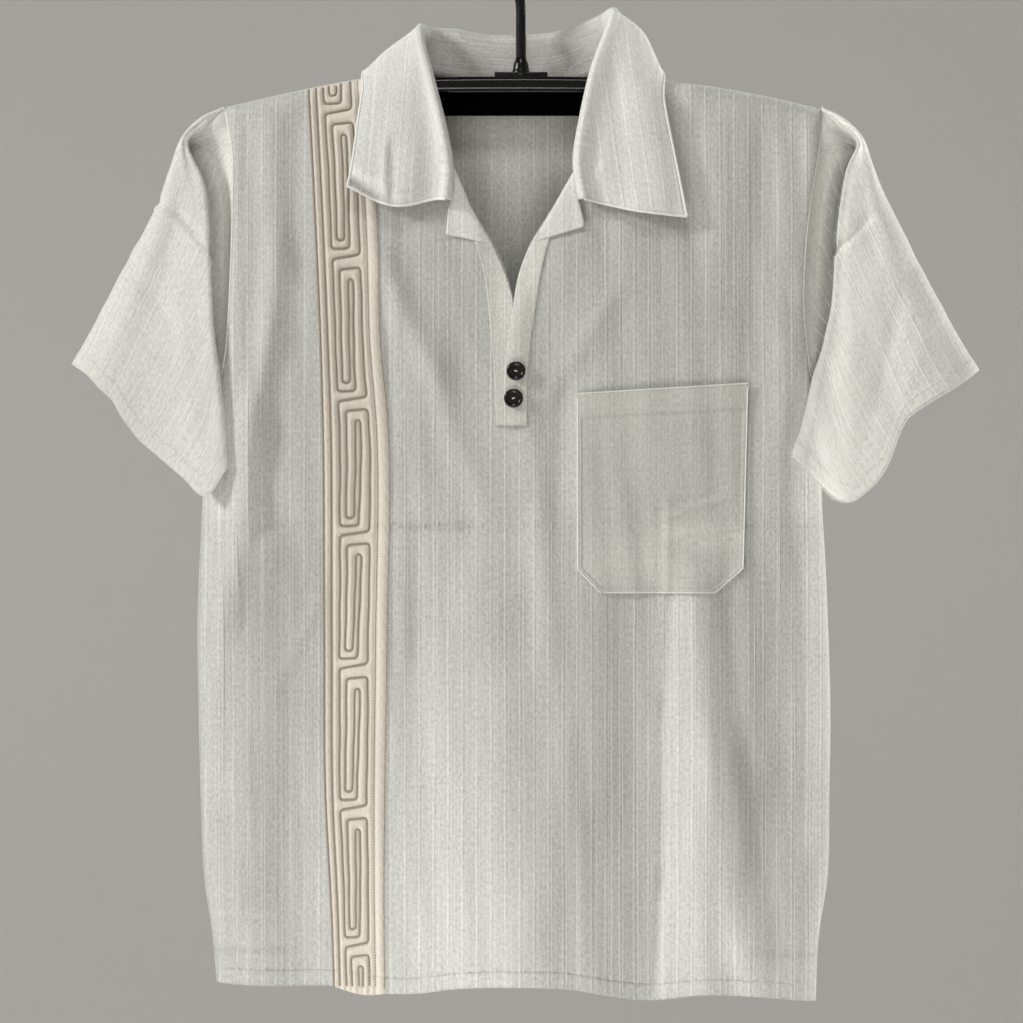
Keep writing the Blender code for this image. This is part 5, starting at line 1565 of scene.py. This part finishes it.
def make_stage():
    flat = STAGE_RADIUS - STAGE_BEND
    profile = [(0.0, STAGE_FLOOR), (flat, STAGE_FLOOR)]
    for angle in np.linspace(0, math.pi / 2, 14)[1:]:
        rise = STAGE_BEND * (1 - math.cos(angle))
        profile.append((flat + STAGE_BEND * math.sin(angle), STAGE_FLOOR + rise))
    profile.append((STAGE_RADIUS, STAGE_FLOOR + STAGE_HEIGHT))
    stage = turned_solid("stage", profile, 96, plain_backdrop("pale_backdrop", BACKDROP_COLOUR))


def make_lights():
    for name, x, y, z, size, power, warm in LAMPS:
        light = bpy.data.lights.new(name, "AREA")
        light.energy = power
        light.size = size
        light.color = (1.0, 1.0 / warm, 1.0 / warm)
        placed = linked(name, light)
        placed.location = (x, y, z)
        placed.visible_camera = False
        placed.rotation_euler = (LOOK_AT - placed.location).to_track_quat("-Z", "Y").to_euler()
    world = bpy.data.worlds.new("soft_room")
    world.use_nodes = True
    sky = world.node_tree.nodes["Background"]
    sky.inputs["Color"].default_value = (1.0, 1.0, 1.0, 1.0)
    sky.inputs["Strength"].default_value = ROOM_GLOW
    bpy.context.scene.world = world
    bpy.context.scene.view_settings.view_transform = "Standard"


def make_camera():
    lens = bpy.data.cameras.new("photo_camera")
    lens.sensor_width = SENSOR
    lens.lens = SENSOR * CAMERA_AWAY / FRAME_WIDTH
    lens.clip_end = 30.0
    camera = linked("photo_camera", lens)
    camera.location = (CAMERA_X, FRONT_PLANE - CAMERA_AWAY, CAMERA_Z)
    camera.rotation_euler = (math.pi / 2, 0, 0)
    bpy.context.scene.camera = camera


def ride_as(piece, slot, *nodes):
    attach(piece, "root")
    if nodes:
        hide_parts(*nodes)
    return piece


def sewn_on(name, piece, trims, slot="ribbed_cotton"):
    """A cloth piece in place of its plain one, with the ribs, stitches and edges that go with it."""
    ride_as(piece, slot, name)
    for trim in trims:
        ride_as(trim, slot)


def main():
    make_camera()
    make_stage()
    make_lights()

    front, back, front_ribs, back_ribs = make_body()
    ridges, joins, hems = make_seams()
    sewn_on("front", front, [front_ribs, joins, hems, ridges])
    sewn_on("back", back, [back_ribs])
    for side, courses, seed in (("left", SLEEVE_LEFT, 21), ("right", SLEEVE_RIGHT, 22)):
        sleeve, *trims = make_sleeve(side, courses, seed)
        sewn_on(f"sleeve_{side}", sleeve, trims)
    collar, *trims = make_collar()
    sewn_on("collar", collar, trims)
    for side, rows, flip in (("left", REVERS_LEFT, False), ("right", REVERS_RIGHT, True)):
        revers = make_revers(f"revers_{side}_cloth", rows, flip)
        sewn_on(f"revers_{side}", revers, [])
    under = make_placket("placket_under_cloth", PLACKET_UNDER, UNDER_STRIP_LIFTS, UNDER_STRIP_LIFTS)
    over = make_placket("placket_over_cloth", PLACKET_OVER, OVER_STRIP_LIFTS, OPEN_STRIP_LIFTS)
    sewn = stitched("placket_stitches", placket_lines())
    sewn_on("placket_under", under, [])
    sewn_on("placket_over", over, [sewn])
    pocket, *trims = make_pocket()
    sewn_on("pocket", pocket, trims)
    band, *trims = make_band()
    sewn_on("band", band, trims, slot="band_cotton")
    for number, button in enumerate(BUTTONS):
        turned, sewn = make_button(button, number)
        ride_as(turned, "button_brown", button.name)
        ride_as(sewn, "button_brown")
    ride_as(make_bar(), "hanger_plastic", "hanger_bar")
    ride_as(make_boss(), "hanger_plastic")
    ride_as(make_hook(), "hanger_plastic", "hanger_hook")


main()
